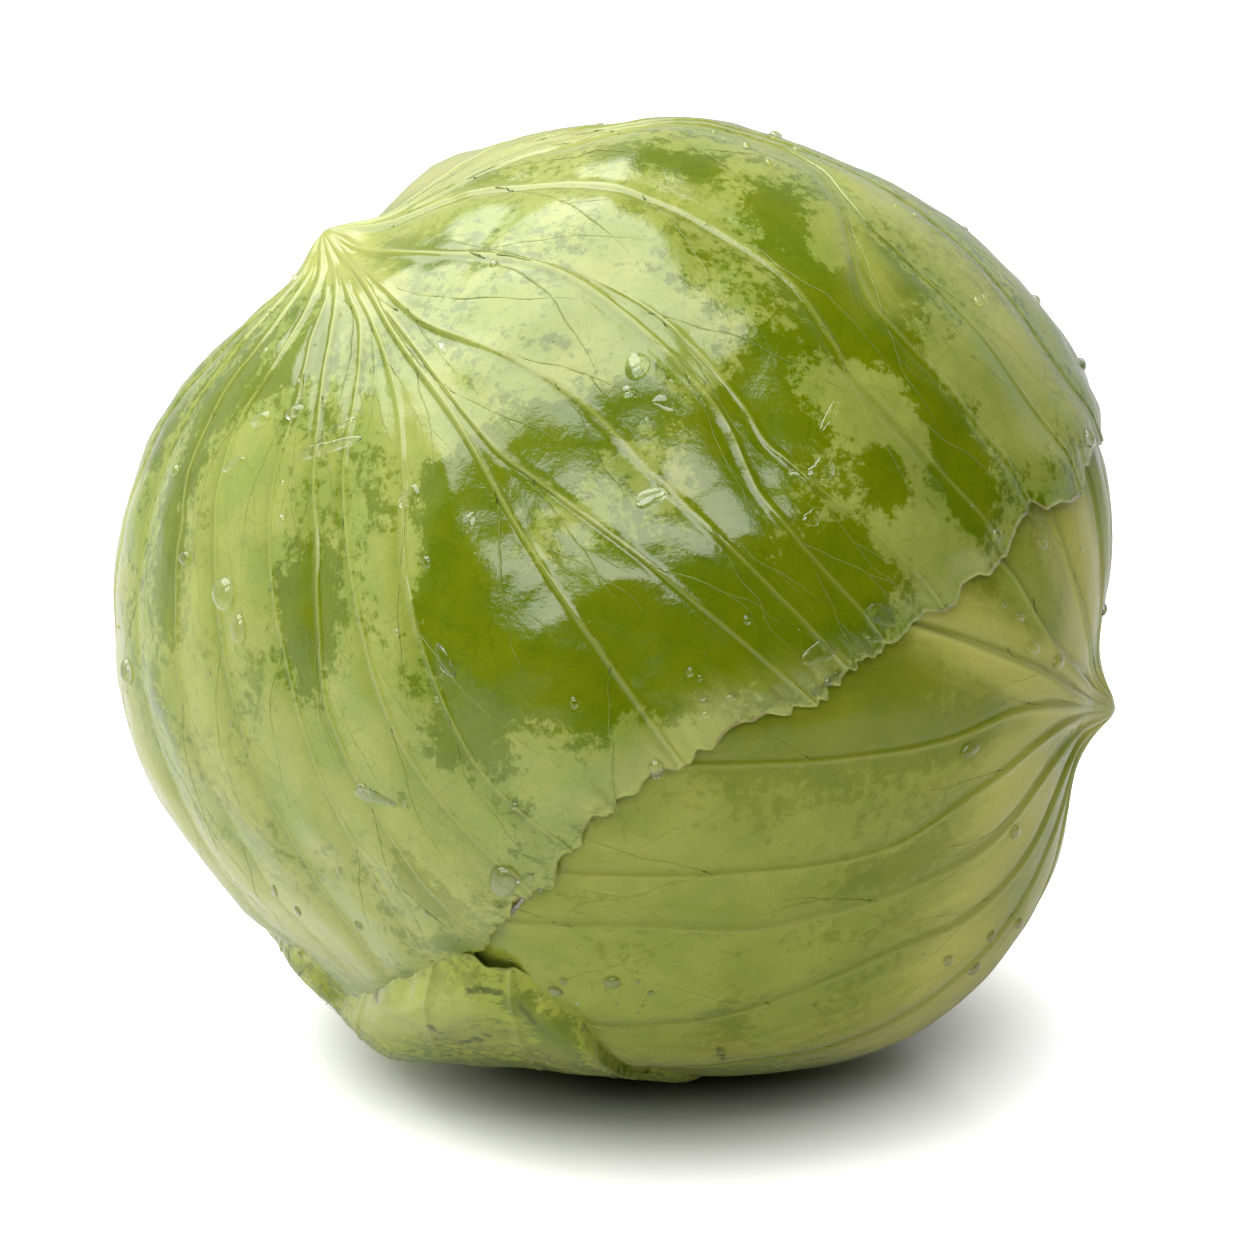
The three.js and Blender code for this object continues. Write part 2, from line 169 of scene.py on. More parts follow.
# turn and fromStem place a leaf's elbow round the stem. edge is its reach against its bearing round
# the elbow, where 0 points to the head's tip. A rib is its strength and the [reach, bearing] it follows.
rightLeaf = dict(
    name="rightLeaf", node="right_leaf", slot="right_leaf",
    turn=97, fromStem=90, columns=330, rows=160,
    ribHeight=0.7, ribWidth=1.2, groove=0.65, puffHeight=2.1, steep=4.5, gentle=13, steepSide=-1, shade=0.45,
    veinStep=(24, 40), gloss=0.3, broadRib=[[0, -38], [12, -42], [24, -45], [45, -48]],
    fade=15, edgeLift=0.6, settle=0.2, lobes=1.0, buckle=0.12, curl=0.5, rearDensity=0.6, seed=11, traced=[],
    # bare patches: vivid green without wax; the one from (760, 740) to (880, 690) is a painted shadow under the
    # front leaf's edge
    barePatches=[
        [0.9, 4, (985, 690), (975, 735)], [0.7, 4, (900, 745), (960, 735)], [0.5, 5, (850, 880), (930, 850)],
        [0.7, 5, (735, 1000), (720, 1040)], [0.9, 12, (760, 740), (880, 690)],
    ],
    palePatches=[
        [1.0, 5, (1095, 708), (1060, 690)], [0.9, 6, (1050, 680), (930, 617)],
        [0.8, 12, (1060, 850), (1000, 950)], [1.0, 10, (1085, 600), (1070, 530)],
        [0.5, 10, (1020, 760), (1040, 800)], [0.6, 12, (960, 970), (900, 1030)],
        [0.6, 12, (1000, 800), (980, 880)], [0.35, 16, (640, 1050), (800, 1040)],
    ],
    bruises=[[0.8, 1.0, (717, 1040), (722, 1050)]],
    folds=[],
    edge=[
        [-180, 78], [-150, 84], [-115, 86], [-80, 92], [-45, 98], [-15, 97], [2, 92], [12, 96], [30, 98],
        [60, 96], [90, 92], [125, 86], [155, 82],
    ],
    ribs=[
        [0.9, [[0, -40], [12, -41], [24, -45], [45, -46], [97, -42]]],
        [0.8, [[0, -36], [10, -37], [24, -35], [36, -28], [49, -25], [68, -23], [97, -20]]],
        [0.8, [[0, -30], [12, -29], [19, -25], [31, -15], [42, -8], [61, -8], [95, -6]]],
        [0.9, [[0, -20], [15, -12], [26, 1], [37, 3], [56, 3], [71, 1], [95, 3]]],
        [0.8, [[0, 0], [11, 6], [18, 18], [29, 22], [41, 18], [63, 22], [95, 25]]],
        [0.6, [[0, 20], [15, 34], [30, 40], [60, 42], [95, 44]]],
        [0.7, [[0, 45], [20, 60], [50, 66], [95, 66]]],
        [0.7, [[0, 75], [20, 88], [90, 92]]],
        [0.6, [[0, 105], [80, 120]]],
        [0.5, [[0, 135], [80, 148]]],
        [0.8, [[0, -50], [21, -53], [34, -62], [60, -68], [95, -70]]],
        [0.7, [[0, -62], [21, -74], [50, -90], [90, -94]]],
        [0.6, [[0, -85], [30, -104], [85, -118]]],
        [0.5, [[0, -120], [80, -148]]],
    ],
)

frontLeaf = dict(
    name="frontLeaf", node="front_leaf", slot="front_leaf",
    turn=-32, fromStem=89.5, columns=320, rows=170,
    ribHeight=0.75, ribWidth=0.85, groove=0.35, puffHeight=0.9, steep=4, gentle=7, steepSide=-1, shade=0.24,
    veinStep=(17, 32), gloss=0.65, broadRib=None,
    fade=10, edgeLift=0.55, settle=0.0, lobes=1.1, buckle=0.28, curl=1.0, rearDensity=0.5, seed=23,
    traced=[  # the edge that faces the viewer, in pixels of the view
        (452, 975), (468, 966), (484, 950), (492, 940), (497, 932), (505, 920), (515, 899), (537, 897),
        (545, 893), (557, 882), (560, 872), (568, 860),
        (577, 848), (583, 838), (585, 832), (583, 825), (588, 818), (597, 817), (608, 817), (615, 812),
        (620, 800), (625, 796), (640, 794), (648, 785), (663, 778), (678, 772), (683, 771), (690, 762),
        (702, 753), (712, 748), (717, 742), (722, 735), (737, 727), (753, 720), (777, 713), (800, 708),
        (817, 703), (832, 697), (843, 680), (857, 670), (883, 650), (907, 632), (927, 615), (953, 610),
        (962, 600), (965, 585), (977, 577), (987, 576), (1000, 570), (1008, 560), (1015, 543),
        (1018, 527), (1028, 513), (1033, 502), (1043, 505), (1048, 508), (1060, 503), (1070, 503),
        (1080, 497), (1087, 483), (1088, 470), (1095, 447), (1103, 427),
    ],
    # strength, width in millimetres, and the two places in the view that a patch lies between
    # bare patches: vivid green where the wax bloom is off; two places are also painted shade, the band below the
    # fold from (560, 665) to (820, 590) and the dark bar between the two lamps' sheens from (462, 492) to (640,
    # 402)
    barePatches=[
        [1.0, 7, (312, 600), (312, 680)], [0.9, 8, (478, 490), (462, 600)], [0.8, 7, (500, 660), (470, 740)],
        [0.9, 5, (775, 205), (800, 270)], [1.0, 6, (850, 310), (840, 345)], [0.9, 6, (880, 275), (935, 325)],
        [1.0, 4.5, (895, 350), (960, 460)], [0.7, 3, (760, 385), (775, 350)], [0.9, 5, (738, 415), (728, 445)],
        [0.8, 5, (745, 485), (725, 520)], [0.6, 3, (845, 545), (870, 575)], [0.7, 4, (885, 465), (890, 500)],
        [0.8, 3.5, (955, 490), (975, 520)], [1.0, 10, (560, 665), (820, 590)], [0.7, 4, (610, 155), (700, 170)],
        [1.2, 4.5, (462, 492), (560, 440)], [1.2, 4, (560, 440), (640, 402)], [0.6, 8, (770, 440), (850, 490)],
        [-0.6, 6, (640, 760), (700, 740)],
        [0.6, 2.5, (475, 182), (485, 182)], [0.8, 4, (240, 380), (220, 410)], [0.7, 4, (175, 420), (160, 450)],
        [0.7, 4, (195, 470), (175, 500)], [0.6, 4, (320, 335), (300, 365)], [0.5, 3.5, (285, 365), (275, 385)],
        [0.5, 3, (390, 248), (440, 256)], [0.7, 3.5, (437, 600), (437, 630)], [0.6, 2.5, (380, 795), (400, 800)],
        [0.8, 3, (415, 880), (445, 905)], [0.8, 3, (455, 945), (475, 955)], [0.8, 3.5, (800, 600), (795, 655)],
        [0.5, 6, (660, 630), (700, 690)], [0.8, 4, (172, 545), (172, 620)], [0.7, 8, (590, 640), (620, 600)],
        [-0.9, 6, (262, 490), (240, 600)], [-1.0, 9, (345, 710), (355, 790)], [-0.7, 7, (290, 740), (300, 800)],
        [-0.8, 6, (445, 800), (465, 850)], [-0.5, 5, (540, 745), (560, 800)], [-0.8, 4.5, (818, 235), (825, 258)],
        [-0.9, 6, (930, 320), (945, 350)], [-0.8, 5, (885, 395), (900, 430)], [-0.7, 6, (1015, 380), (1010, 420)],
        [-0.8, 5, (840, 370), (850, 410)], [-0.6, 6, (830, 470), (870, 520)], [-0.5, 8, (620, 300), (640, 340)],
        [-0.7, 5, (405, 405), (440, 440)], [-0.6, 5, (250, 455), (230, 500)], [-0.6, 6, (920, 540), (950, 570)],
        [-0.7, 3.5, (400, 560), (410, 640)],
    ],
    # pale patches: paler leaf; those along the top of the head are partly painted light, brightening the top where
    # the lamps fall on it
    palePatches=[
        [1.0, 12, (450, 165), (590, 135)], [0.5, 8, (430, 215), (690, 205)], [0.5, 6, (840, 225), (880, 300)],
        [0.9, 10, (125, 520), (150, 760)], [0.8, 14, (190, 830), (330, 940)],
        [0.5, 14, (200, 600), (230, 780)], [0.4, 16, (380, 850), (440, 900)],
        [0.9, 4.5, (337, 240), (345, 262)], [0.5, 7, (345, 262), (380, 300)], [0.6, 7, (860, 190), (1000, 330)],
        [0.5, 6, (1020, 350), (1080, 420)], [0.5, 5, (600, 800), (700, 740)], [0.4, 5, (720, 700), (830, 670)],
    ],
    bruises=[[0.6, 1.2, (817, 695), (840, 675)], [0.5, 1.0, (490, 928), (500, 930)]],
    folds=[
        [0.5, 8, (550, 622), (600, 598)], [0.9, 9, (600, 598), (700, 555)], [0.9, 9, (700, 555), (790, 524)],
        [0.6, 8, (790, 524), (850, 510)],
    ],
    edge=[
        [-180, 78], [-150, 84], [-115, 92], [-80, 96], [-65, 100], [-52, 105], [-42, 108], [-32, 107],
        [-22, 103], [-12, 101], [-5, 99.5], [-1, 96.5], [2, 92.5], [9, 91], [15, 88.5], [20, 86],
        [30, 86.5], [36, 86.5], [40, 87.5], [46, 90.5], [55, 91], [61, 92], [66, 94], [72, 95], [79, 94],
        [84, 96.5], [88, 98.5], [97, 98.5], [104, 100], [113, 104], [135, 95], [157, 84],
    ],
    ribs=[
        [1.0, [[0, 34], [14, 36], [26, 34], [42, 34], [58, 32], [87, 31]]],
        [0.8, [[26, 36], [47, 36], [54, 38], [65, 41], [75, 43], [91, 46]]],
        [0.9, [[16, 40], [27, 41], [36, 45], [47, 49], [63, 49], [91, 51]]],
        [0.9, [[0, 48], [8, 51], [20, 60], [27, 64], [39, 65], [50, 63], [62, 60], [71, 56], [91, 56]]],
        [0.6, [[45, 66.5], [50, 66], [62, 63], [68, 61], [92, 64]]],
        [1.0, [[0, 84], [13, 97], [19, 96], [28, 92], [39, 88], [49, 85], [58, 82], [71, 75], [96, 74]]],
        [0.7, [[14, 109], [20, 112], [40, 116], [52, 113], [57, 108], [61, 98], [65, 88], [71, 84], [97, 81]]],
        [0.6, [[20, 116], [40, 119], [52, 116], [57, 112], [61, 103], [65, 98], [83, 92], [100, 90]]],
        [0.7, [[0, 114], [20, 124], [50, 122], [73, 111], [91, 102], [104, 104]]],
        [0.6, [[0, 126], [50, 134], [104, 124]]],
        [0.5, [[0, 145], [90, 150]]],
        [0.8, [[21, 31], [26, 30], [35, 27], [44, 22], [53, 16], [74, 12], [88, 15]]],
        [0.8, [[14, 28], [22, 27], [31, 19], [37, 13], [45, 9], [68, 5], [90, 8]]],
        [0.9, [[0, 22], [13, 23], [26, 13], [37, 6], [45, 3], [54, -1], [63, -4], [93, -2]]],
        [0.6, [[14, 17], [20, 10], [26, 6], [37, -4], [54, -8], [94, -11]]],
        [0.9, [[0, 8], [12, 8], [21, -5], [26, -14], [35, -19], [48, -20], [95, -21]]],
        [0.7, [[10, -11], [14, -14], [24, -28], [40, -31], [95, -32]]],
        [0.8, [[0, -24], [22, -42], [33, -47], [60, -44], [96, -45]]],
        [0.7, [[12, -55], [25, -64], [60, -66], [96, -64]]],
        [0.6, [[0, -75], [25, -88], [92, -88]]],
        [0.6, [[0, -105], [90, -115]]],
        [0.5, [[0, -140], [84, -150]]],
    ],
)

lowLeaf = dict(
    name="lowLeaf", node="low_leaf", slot="low_leaf",
    turn=190, fromStem=72, columns=330, rows=150,
    ribHeight=0.6, ribWidth=0.9, groove=0.35, puffHeight=0.8, steep=5, gentle=9, steepSide=-1, shade=0.2,
    veinStep=(22, 40), gloss=0.45, broadRib=None,
    edgeLift=0.0, settle=2.1, lobes=1.6, buckle=0.25, curl=0.5, rearDensity=0.8, seed=37,
    traced=[
        (315, 986), (352, 1000), (375, 997), (390, 982), (410, 982), (425, 968), (450, 960), (467, 958),
        (486, 970), (515, 973), (535, 982), (560, 1003), (585, 1030), (612, 1066), (640, 1080),
    ],
    barePatches=[
        [1.0, 3, (440, 1036), (500, 1034)], [0.9, 2.5, (452, 957), (466, 957)], [0.9, 3, (560, 1030), (565, 1060)],
        [0.9, 2.5, (515, 1004), (540, 1026)], [0.8, 2.5, (350, 996), (380, 1000)],
        [0.7, 3, (640, 1050), (650, 1075)],
    ],
    palePatches=[
        [0.6, 10, (370, 1010), (440, 1000)], [0.4, 8, (300, 975), (350, 1000)], [0.5, 12, (500, 1040), (560, 1060)],
    ],
    bruises=[
        [1.0, 1.6, (355, 998), (370, 1002)], [0.9, 1.1, (455, 957), (464, 958)], [0.9, 0.9, (468, 992), (498, 997)],
        [0.8, 1.1, (520, 1006), (535, 1022)], [1.0, 1.4, (572, 1016), (586, 1020)],
        [0.9, 1.3, (465, 1040), (488, 1033)], [0.7, 1.0, (430, 1024), (440, 1032)],
    ],
    folds=[],
    edge=[
        [-180, 60], [-150, 64], [-110, 63], [-80, 57], [-60, 53], [-42, 50], [-31, 51], [-24, 57], [-19, 66],
        [-16, 75], [-13, 87], [-10, 93], [-7, 97], [-3, 99.5], [0, 101], [3, 99.5], [6, 96], [9, 91.5],
        [13, 83], [18, 76], [24, 72], [31, 70], [38, 66], [50, 63], [80, 66], [120, 68], [155, 64],
    ],
    ribs=[
        [1.0, [[0, -6], [40, -6], [101, -4]]],
        [0.8, [[0, 6], [20, 8], [60, 7], [98, 5]]],
        [0.8, [[0, 18], [20, 22], [50, 20], [86, 15]]],
        [0.8, [[0, 34], [20, 40], [80, 32]]],
        [0.7, [[0, 60], [66, 62]]],
        [0.6, [[0, 90], [66, 94]]],
        [0.5, [[0, 128], [66, 140]]],
        [0.8, [[0, -16], [20, -20], [60, -16], [90, -13]]],
        [0.8, [[0, -30], [20, -38], [50, -36], [74, -27]]],
        [0.7, [[0, -60], [66, -60]]],
        [0.6, [[0, -92], [66, -96]]],
        [0.5, [[0, -130], [66, -142]]],
    ],
)

leaves = [rightLeaf, frontLeaf, lowLeaf]  # from the heart outwards
for leaf in leaves:
    leaf["elbow"] = headDirection(np.array(leaf["turn"]), np.array(leaf["fromStem"]))
    leaf["ahead"] = unit(-stemAxis + (stemAxis @ leaf["elbow"]) * leaf["elbow"])
    leaf["across"] = np.cross(leaf["elbow"], leaf["ahead"])
    leaf["ribs"].sort(key=lambda rib: rib[1][-1][1])


def onLeaf(leaf, reach, bearing):
    r, b = np.radians(reach)[..., None], np.radians(bearing)[..., None]
    flat = np.cos(b) * leaf["ahead"] + np.sin(b) * leaf["across"]
    return np.cos(r) * leaf["elbow"] + np.sin(r) * flat


def leafReach(leaf, d):
    return angleBetween(d, leaf["elbow"])


def leafBearing(leaf, d):
    return np.degrees(np.arctan2(d @ leaf["across"], d @ leaf["ahead"]))


for leaf in leaves:
    leaf["broadAround"] = [[b + turn, r] for turn in (-360, 0, 360) for b, r in leaf["edge"]]


def edgeReach(leaf, bearing):
    return curveThrough(leaf["edgeAround"], bearing)


def broadReach(leaf, bearing):  # without the small turns of the edge
    return curveThrough(leaf["broadAround"], bearing)


def cover(leaf, d):  # 1 where the leaf lies, falling to 0 past its edge
    edge = curveThrough(leaf.get("edgeAround", leaf["broadAround"]), leafBearing(leaf, d)) + 1
    return 1 - smoothStep(edge, edge + leaf["fade"], leafReach(leaf, d))


def shown(index, d):  # 1 where nothing lies on a leaf and 0 where another leaf presses on it
    share = np.ones(d.shape[:-1])
    for above in leaves[index + 1:]:
        edge = broadReach(above, leafBearing(above, d))
        share = share * smoothStep(edge - 3, edge + 5, leafReach(above, d))
    return share


def elbowAndStalk(leaf, d):
    reach, bearing = leafReach(leaf, d), np.radians(leafBearing(leaf, d))
    elbow = stack["elbowHeight"] * bell(reach / stack["elbowWidth"])
    aside = head["radius"] * np.sin(np.radians(reach)) * np.sin(bearing)
    stalk = stack["stalkHeight"] * smoothStep(4, 30, reach) * bell(aside / stack["stalkHalfWidth"])
    return elbow + np.where(np.cos(bearing) > 0, 0, stalk * np.cos(bearing) ** 2)


def standOff(index, d):
    leaf = leaves[index]
    height = stack["gap"]
    for below in leaves[:index]:
        height = height + cover(below, d) * (stack["pitch"] + elbowAndStalk(below, d))
    edge = broadReach(leaf, leafBearing(leaf, d))
    reach = leafReach(leaf, d)
    outside = smoothStep(edge - stack["edgeZone"], edge - 1, reach)
    skin = d * head["radius"]
    wave = 1 + leaf["curl"] * (lumps(skin, 17, leaf["seed"]) + 0.5 * lumps(skin, 6, leaf["seed"] + 9))
    return height + leaf["edgeLift"] * wave * outside * shown(index, d)


down = np.array([0, 0, -1.0])
bedHeight = standOff(2, down) + stack["blade"] - head["flatDrop"]


def onSkin(index, x, y, sunk=0.0):  # direction to the place on a leaf that is seen at x, y
    radius = head["radius"] + 5
    for attempt in range(6):
        d = onBall(x, y, radius)
        radius = float(pressedRadius(d, bedHeight) + standOff(index, d)) + stack["blade"] - sunk
    return d


for index, leaf in enumerate(leaves):  # the traced part of an edge takes the place of the broad one
    fine = []
    for x, y in leaf["traced"]:
        d = onSkin(index, x, y, leaf["settle"])
        fine.append([float(leafBearing(leaf, d)), float(leafReach(leaf, d))])
    fine.sort()
    fine = [p for i, p in enumerate(fine) if i == 0 or p[0] - fine[i - 1][0] > 0.35]
    leaf["tracedSpan"] = (fine[0][0], fine[-1][0]) if fine else (999, 1000)
    broad = [p for p in leaf["edge"] if not leaf["tracedSpan"][0] - 3 < p[0] < leaf["tracedSpan"][1] + 3]
    leaf["edgeAround"] = [[b + turn, r] for turn in (-360, 0, 360) for b, r in sorted(broad + fine)]


def asideOf(path, reach, bearing):  # millimetres from a rib, with a sign
    turn = bearing - curveThrough(path, reach)
    turn = turn - 360 * np.round(turn / 360)
    return np.radians(turn) * head["radius"] * np.sin(np.radians(np.minimum(reach, 90)))


raggedEdge = dict(  # sizes in millimetres along the edge
    waves=0.42, wander=2.2,  # how close the lobes stand, and how unevenly
    wanderSize=12, broadSize=9, calmSize=30, toothSize=1.7,
    lobe=0.9, smallLobe=0.5, tooth=0.9,  # depths in degrees of reach
)


def edgeLobes(leaf, bearing):  # uneven lobes and fine teeth of a leaf's edge, in degrees of reach
    around = np.radians(bearing)
    ring = np.stack([np.cos(around), np.sin(around), 0 * bearing], -1) * head["radius"]
    wander = lumps(ring, raggedEdge["wanderSize"], leaf["seed"] + 1)
    broad = lumps(ring, raggedEdge["broadSize"], leaf["seed"] + 2)
    phase = bearing * raggedEdge["waves"] + raggedEdge["wander"] * wander
    lobe = np.abs(np.sin(phase)) ** 0.6 - 0.7
    small = np.abs(np.sin(3.1 * phase + 1 + wander)) ** 0.7 - 0.6
    depth = 0.35 + 0.65 * smoothStep(-0.4, 0.6, lumps(ring, raggedEdge["calmSize"], leaf["seed"] + 4))
    lobes = leaf["lobes"] * (broad + depth * (raggedEdge["lobe"] * lobe + raggedEdge["smallLobe"] * small))
    teeth = raggedEdge["tooth"] * depth * (0.4 * small + lumps(ring, raggedEdge["toothSize"], leaf["seed"] + 6))
    return lobes, teeth


def sideVeins(leaf):  # each vein is its half width and the [reach, bearing] places that it follows
    rng = np.random.default_rng(leaf["seed"])
    ribs = leaf["ribs"]
    veins = []
    for i, (strength, path) in enumerate(ribs):
        for side in (-1, 1):
            near = ribs[(i + side) % len(ribs)][1]
            reach = 16 + rng.uniform(0, 16)
            while reach < 80:
                end = min(reach + rng.uniform(14, 26), 92)
                halfway = (reach + end) / 2
                gap = curveThrough(near, end) - curveThrough(path, end)
                gap -= 360 * round(float(gap) / 360)
                aim = gap * rng.uniform(0.4, 0.85)
                bend = aim * rng.uniform(0.52, 0.7)
                start = [reach, float(curveThrough(path, reach))]
                middle = [halfway, float(curveThrough(path, halfway) + bend)]
                stop = [end, float(curveThrough(path, end) + aim)]
                veins.append([rng.uniform(0.14, 0.24), [start, middle, stop]])
                if rng.random() < 0.5:
                    branchEnd = halfway + rng.uniform(5, 9)
                    turn = float(curveThrough(path, branchEnd) + bend * rng.uniform(0.3, 0.8))
                    veins.append([rng.uniform(0.09, 0.14), [middle, [branchEnd, turn]]])
                reach += rng.uniform(*leaf["veinStep"])
    return veins


def leafColumns(leaf):  # rib number and share of the way to the next rib, in one value for each column
    ends = [rib[1][-1][1] for rib in leaf["ribs"]]
    gaps = np.diff(ends + [ends[0] + 360])
    columns = []
    for i, gap in enumerate(gaps):
        middle = onLeaf(leaf, np.array(60.0), np.array(ends[i] + gap / 2))
        density = 1.5 if middle @ viewBack > -0.2 else leaf["rearDensity"]
        count = max(8, round(leaf["columns"] * gap / 360 * density))
        t = np.arange(count) / count
        columns += list(i + t - 0.7 * np.sin(2 * np.pi * t) / (2 * np.pi))
    return np.array(columns + [len(gaps)])  # the last column closes on the first


def bearingOn(leaf, running, reach):
    paths = [rib[1] for rib in leaf["ribs"]]
    paths.append([[r, b + 360] for r, b in paths[0]])
    number = np.minimum(np.floor(running).astype(int), len(leaf["ribs"]) - 1)
    share = running - number
    bearing = np.empty_like(reach)
    for i in np.unique(number):
        here = number == i
        start, stop = curveThrough(paths[i], reach[here]), curveThrough(paths[i + 1], reach[here])
        bearing[here] = (1 - share[here]) * start + share[here] * stop
    return bearing


def edgeOn(leaf, running):  # where each column ends
    bearing = bearingOn(leaf, running, np.full_like(running, 100.0))
    wrapped = bearing - 360 * np.round((bearing - 20) / 360)
    first, last = leaf["tracedSpan"]
    plain = 1 - smoothStep(first - 3, first, wrapped) * (1 - smoothStep(last, last + 3, wrapped))
    lobes, teeth = edgeLobes(leaf, bearing)
    return edgeReach(leaf, bearing) + lobes * (0.35 + 0.65 * plain) + teeth * (1 - 0.6 * plain)


for index, leaf in enumerate(leaves):
    for name in ("barePatches", "palePatches", "bruises", "folds"):
        leaf[name] = [
            [strength, width, head["radius"] * onSkin(index, *start), head["radius"] * onSkin(index, *stop)]
            for strength, width, start, stop in leaf[name]
        ]


def awayFrom(places, a, b):  # millimetres from the line between two places
    line = b - a
    share = np.clip((places - a) @ line / max(line @ line, 1e-6), 0, 1)
    return np.linalg.norm(places - a - share[..., None] * line, axis=-1)


def patchField(leaf, name, d):  # soft patches round lines between two places
    total = np.zeros(d.shape[:-1])
    for strength, width, a, b in leaf[name]:
        total = total + strength * bell(awayFrom(d * head["radius"], a, b) / width)
    return total


def foldField(leaf, d):  # a low crease with a crisp top
    height = np.zeros(d.shape[:-1])
    for top, width, a, b in leaf["folds"]:
        height = np.maximum(height, top * np.exp(-np.hypot(awayFrom(d * head["radius"], a, b), 1.5) / width))
    return height


ribShape = dict(  # reaches in degrees from the elbow, widths in millimetres
    youngReach=15, slimShare=0.42,  # where a rib is stout, and its width past that as a share
    lowShare=0.35, lowReach=28,  # height far out as a share, and how soon a rib gets low
    shadeWidth=6, calmElbow=20, calmEdge=4, thinEdge=9, settleEdge=8,
)


def skinPlaces(index, leaf, reach, bearing, edge, isOuter):
    d = onLeaf(leaf, reach, bearing)
    seen = shown(index, d)
    young = np.exp(-reach / ribShape["youngReach"])
    pillow, crest = np.ones(reach.shape), np.zeros(reach.shape)
    fromRib, ribAside = np.full(reach.shape, 99.0), np.full(reach.shape, 99.0)
    ribSize, ribWidth = np.zeros(reach.shape), np.ones(reach.shape)
    shade = np.zeros(reach.shape)
    for strength, path in leaf["ribs"]:
        aside = asideOf(path, reach, bearing)
        away, side = np.abs(aside), aside * leaf["steepSide"]
        width = leaf["ribWidth"] * strength * (ribShape["slimShare"] + young)
        low = ribShape["lowShare"]
        size = strength * (low + (1 - low) * np.exp(-reach / ribShape["lowReach"]))
        size = size * smoothStep(path[0][0] - 8, path[0][0] + 0.1, reach)
        crest = np.maximum(crest, size * bell(away / width))
        pillow = pillow * (1 - min(strength, 1) * bell(away / np.where(side > 0, leaf["steep"], leaf["gentle"])))
        # painted shade: the leaf's colour darkens on the steep side of each rib, where the crease falls into shade
        dark = strength * np.exp(-np.maximum(side, 0) / ribShape["shadeWidth"])
        shade = np.maximum(shade, dark * smoothStep(-0.6, 0.4, side))
        nearer = away < fromRib
        ribAside, ribSize = np.where(nearer, side, ribAside), np.where(nearer, size, ribSize)
        ribWidth, fromRib = np.where(nearer, width, ribWidth), np.minimum(fromRib, away)
    # the foot: a groove on one side of each rib, also darkened in colour as painted shade
    foot = ribSize * bell((ribAside - 1.6 * ribWidth - 0.25) / (0.7 * ribWidth + 0.3))
    calm = smoothStep(0, ribShape["calmElbow"], reach) * (1 - smoothStep(edge - ribShape["calmEdge"], edge, reach))
    ridges = leaf["ribHeight"] * crest - leaf["groove"] * foot
    broad = np.zeros(reach.shape)
    if leaf["broadRib"]:
        broad = bell(asideOf(leaf["broadRib"], reach, bearing) / stack["broadRibHalfWidth"])
        broad = broad * (1 - smoothStep(0, stack["broadRibReach"], reach))
        ridges = ridges + stack["broadRibHeight"] * broad
    relief = (ridges + leaf["puffHeight"] * pillow * calm) * (stack["pressed"] + (1 - stack["pressed"]) * seen)
    fromEdge = np.radians(edge - reach) * head["radius"]
    thickness = stack["rim"] + (stack["blade"] - stack["rim"]) * smoothStep(0, ribShape["thinEdge"], fromEdge)
    elbow = elbowAndStalk(leaf, d)
    skin = d * head["radius"]
    buckle = leaf["buckle"] * (lumps(skin, 7, leaf["seed"] + 12) + 0.4 * lumps(skin, 2.8, leaf["seed"] + 13)) * calm
    lift = thickness + relief + elbow + foldField(leaf, d) + buckle
    settle = leaf["settle"] * smoothStep(edge - ribShape["settleEdge"], edge, reach) ** 1.5 * seen
    radius = pressedRadius(d, bedHeight) + standOff(index, d) - settle + isOuter * lift
    places = np.array(head["middle"]) + d * radius[..., None]
    places[..., 2] = np.maximum(places[..., 2], 0.9 * (1 - isOuter))
    facts = dict(
        crest=np.clip(crest / np.maximum(ribSize, 0.1), 0, 1) * smoothStep(0.02, 0.25, crest), foot=foot,
        fromRib=np.minimum(fromRib, 30), along=np.radians(reach) * head["radius"], fromEdge=fromEdge,
        bare=patchField(leaf, "barePatches", d),
        pale=patchField(leaf, "palePatches", d) + 0.8 * smoothStep(0.2, 2.0, elbow) + 0.9 * broad,
        bruise=patchField(leaf, "bruises", d), shade=leaf["shade"] * shade * calm, vein=0 * reach,
    )
    return places, facts


def putPlaces(bm, places, facts):  # moves every vertex to its place and notes its facts on it
    layers = {name: bm.verts.layers.float.new(name) for name in facts}
    for v, place in zip(bm.verts, places * toMetres):
        v.co = place
    for name, layer in layers.items():
        for v, value in zip(bm.verts, facts[name]):
            v[layer] = value
    return layers


def leafMesh(index, leaf):
    columns = leafColumns(leaf)
    rows, innerRows, rimRows = leaf["rows"], 20, 7
    columnCount, rowCount = len(columns) - 1, rows + innerRows + 1
    bm = bmesh.new()
    bmesh.ops.create_grid(bm, x_segments=columnCount, y_segments=rowCount, size=1)
    for v in bm.verts:
        v.co = ((v.co.x + 1) / 2 * columnCount, (v.co.y + 1) / 2 * rowCount, 0)
    # the rim gets three columns for each one inside it
    rim = [
        e for e in bm.edges
        if abs(e.verts[0].co.y - e.verts[1].co.y) < 0.5 and -rimRows - 0.5 < e.verts[0].co.y - rows < 4.5
    ]
    bmesh.ops.subdivide_edges(bm, edges=rim, cuts=2, use_grid_fill=True)
    running = np.interp([v.co.x for v in bm.verts], np.arange(columnCount + 1), columns)
    row = np.array([v.co.y for v in bm.verts])
    isOuter = (row < rows + 0.5).astype(float)
    back = np.clip(1 - np.clip((row - rows - 1) / innerRows, 0, 1) ** 1.4, 0, 1)
    share = np.where(isOuter > 0, row / rows, back)
    running[running > len(leaf["ribs"]) - 1e-9] = 0
    edge = edgeOn(leaf, running)
    reach = share * edge
    bearing = bearingOn(leaf, running, reach)
    places, facts = skinPlaces(index, leaf, reach, bearing, edge, isOuter)
    veinTubes(index, leaf, bm, putPlaces(bm, places, facts))
    bmesh.ops.remove_doubles(bm, verts=bm.verts, dist=1e-7)
    return finishMesh(bm, leaf["name"])


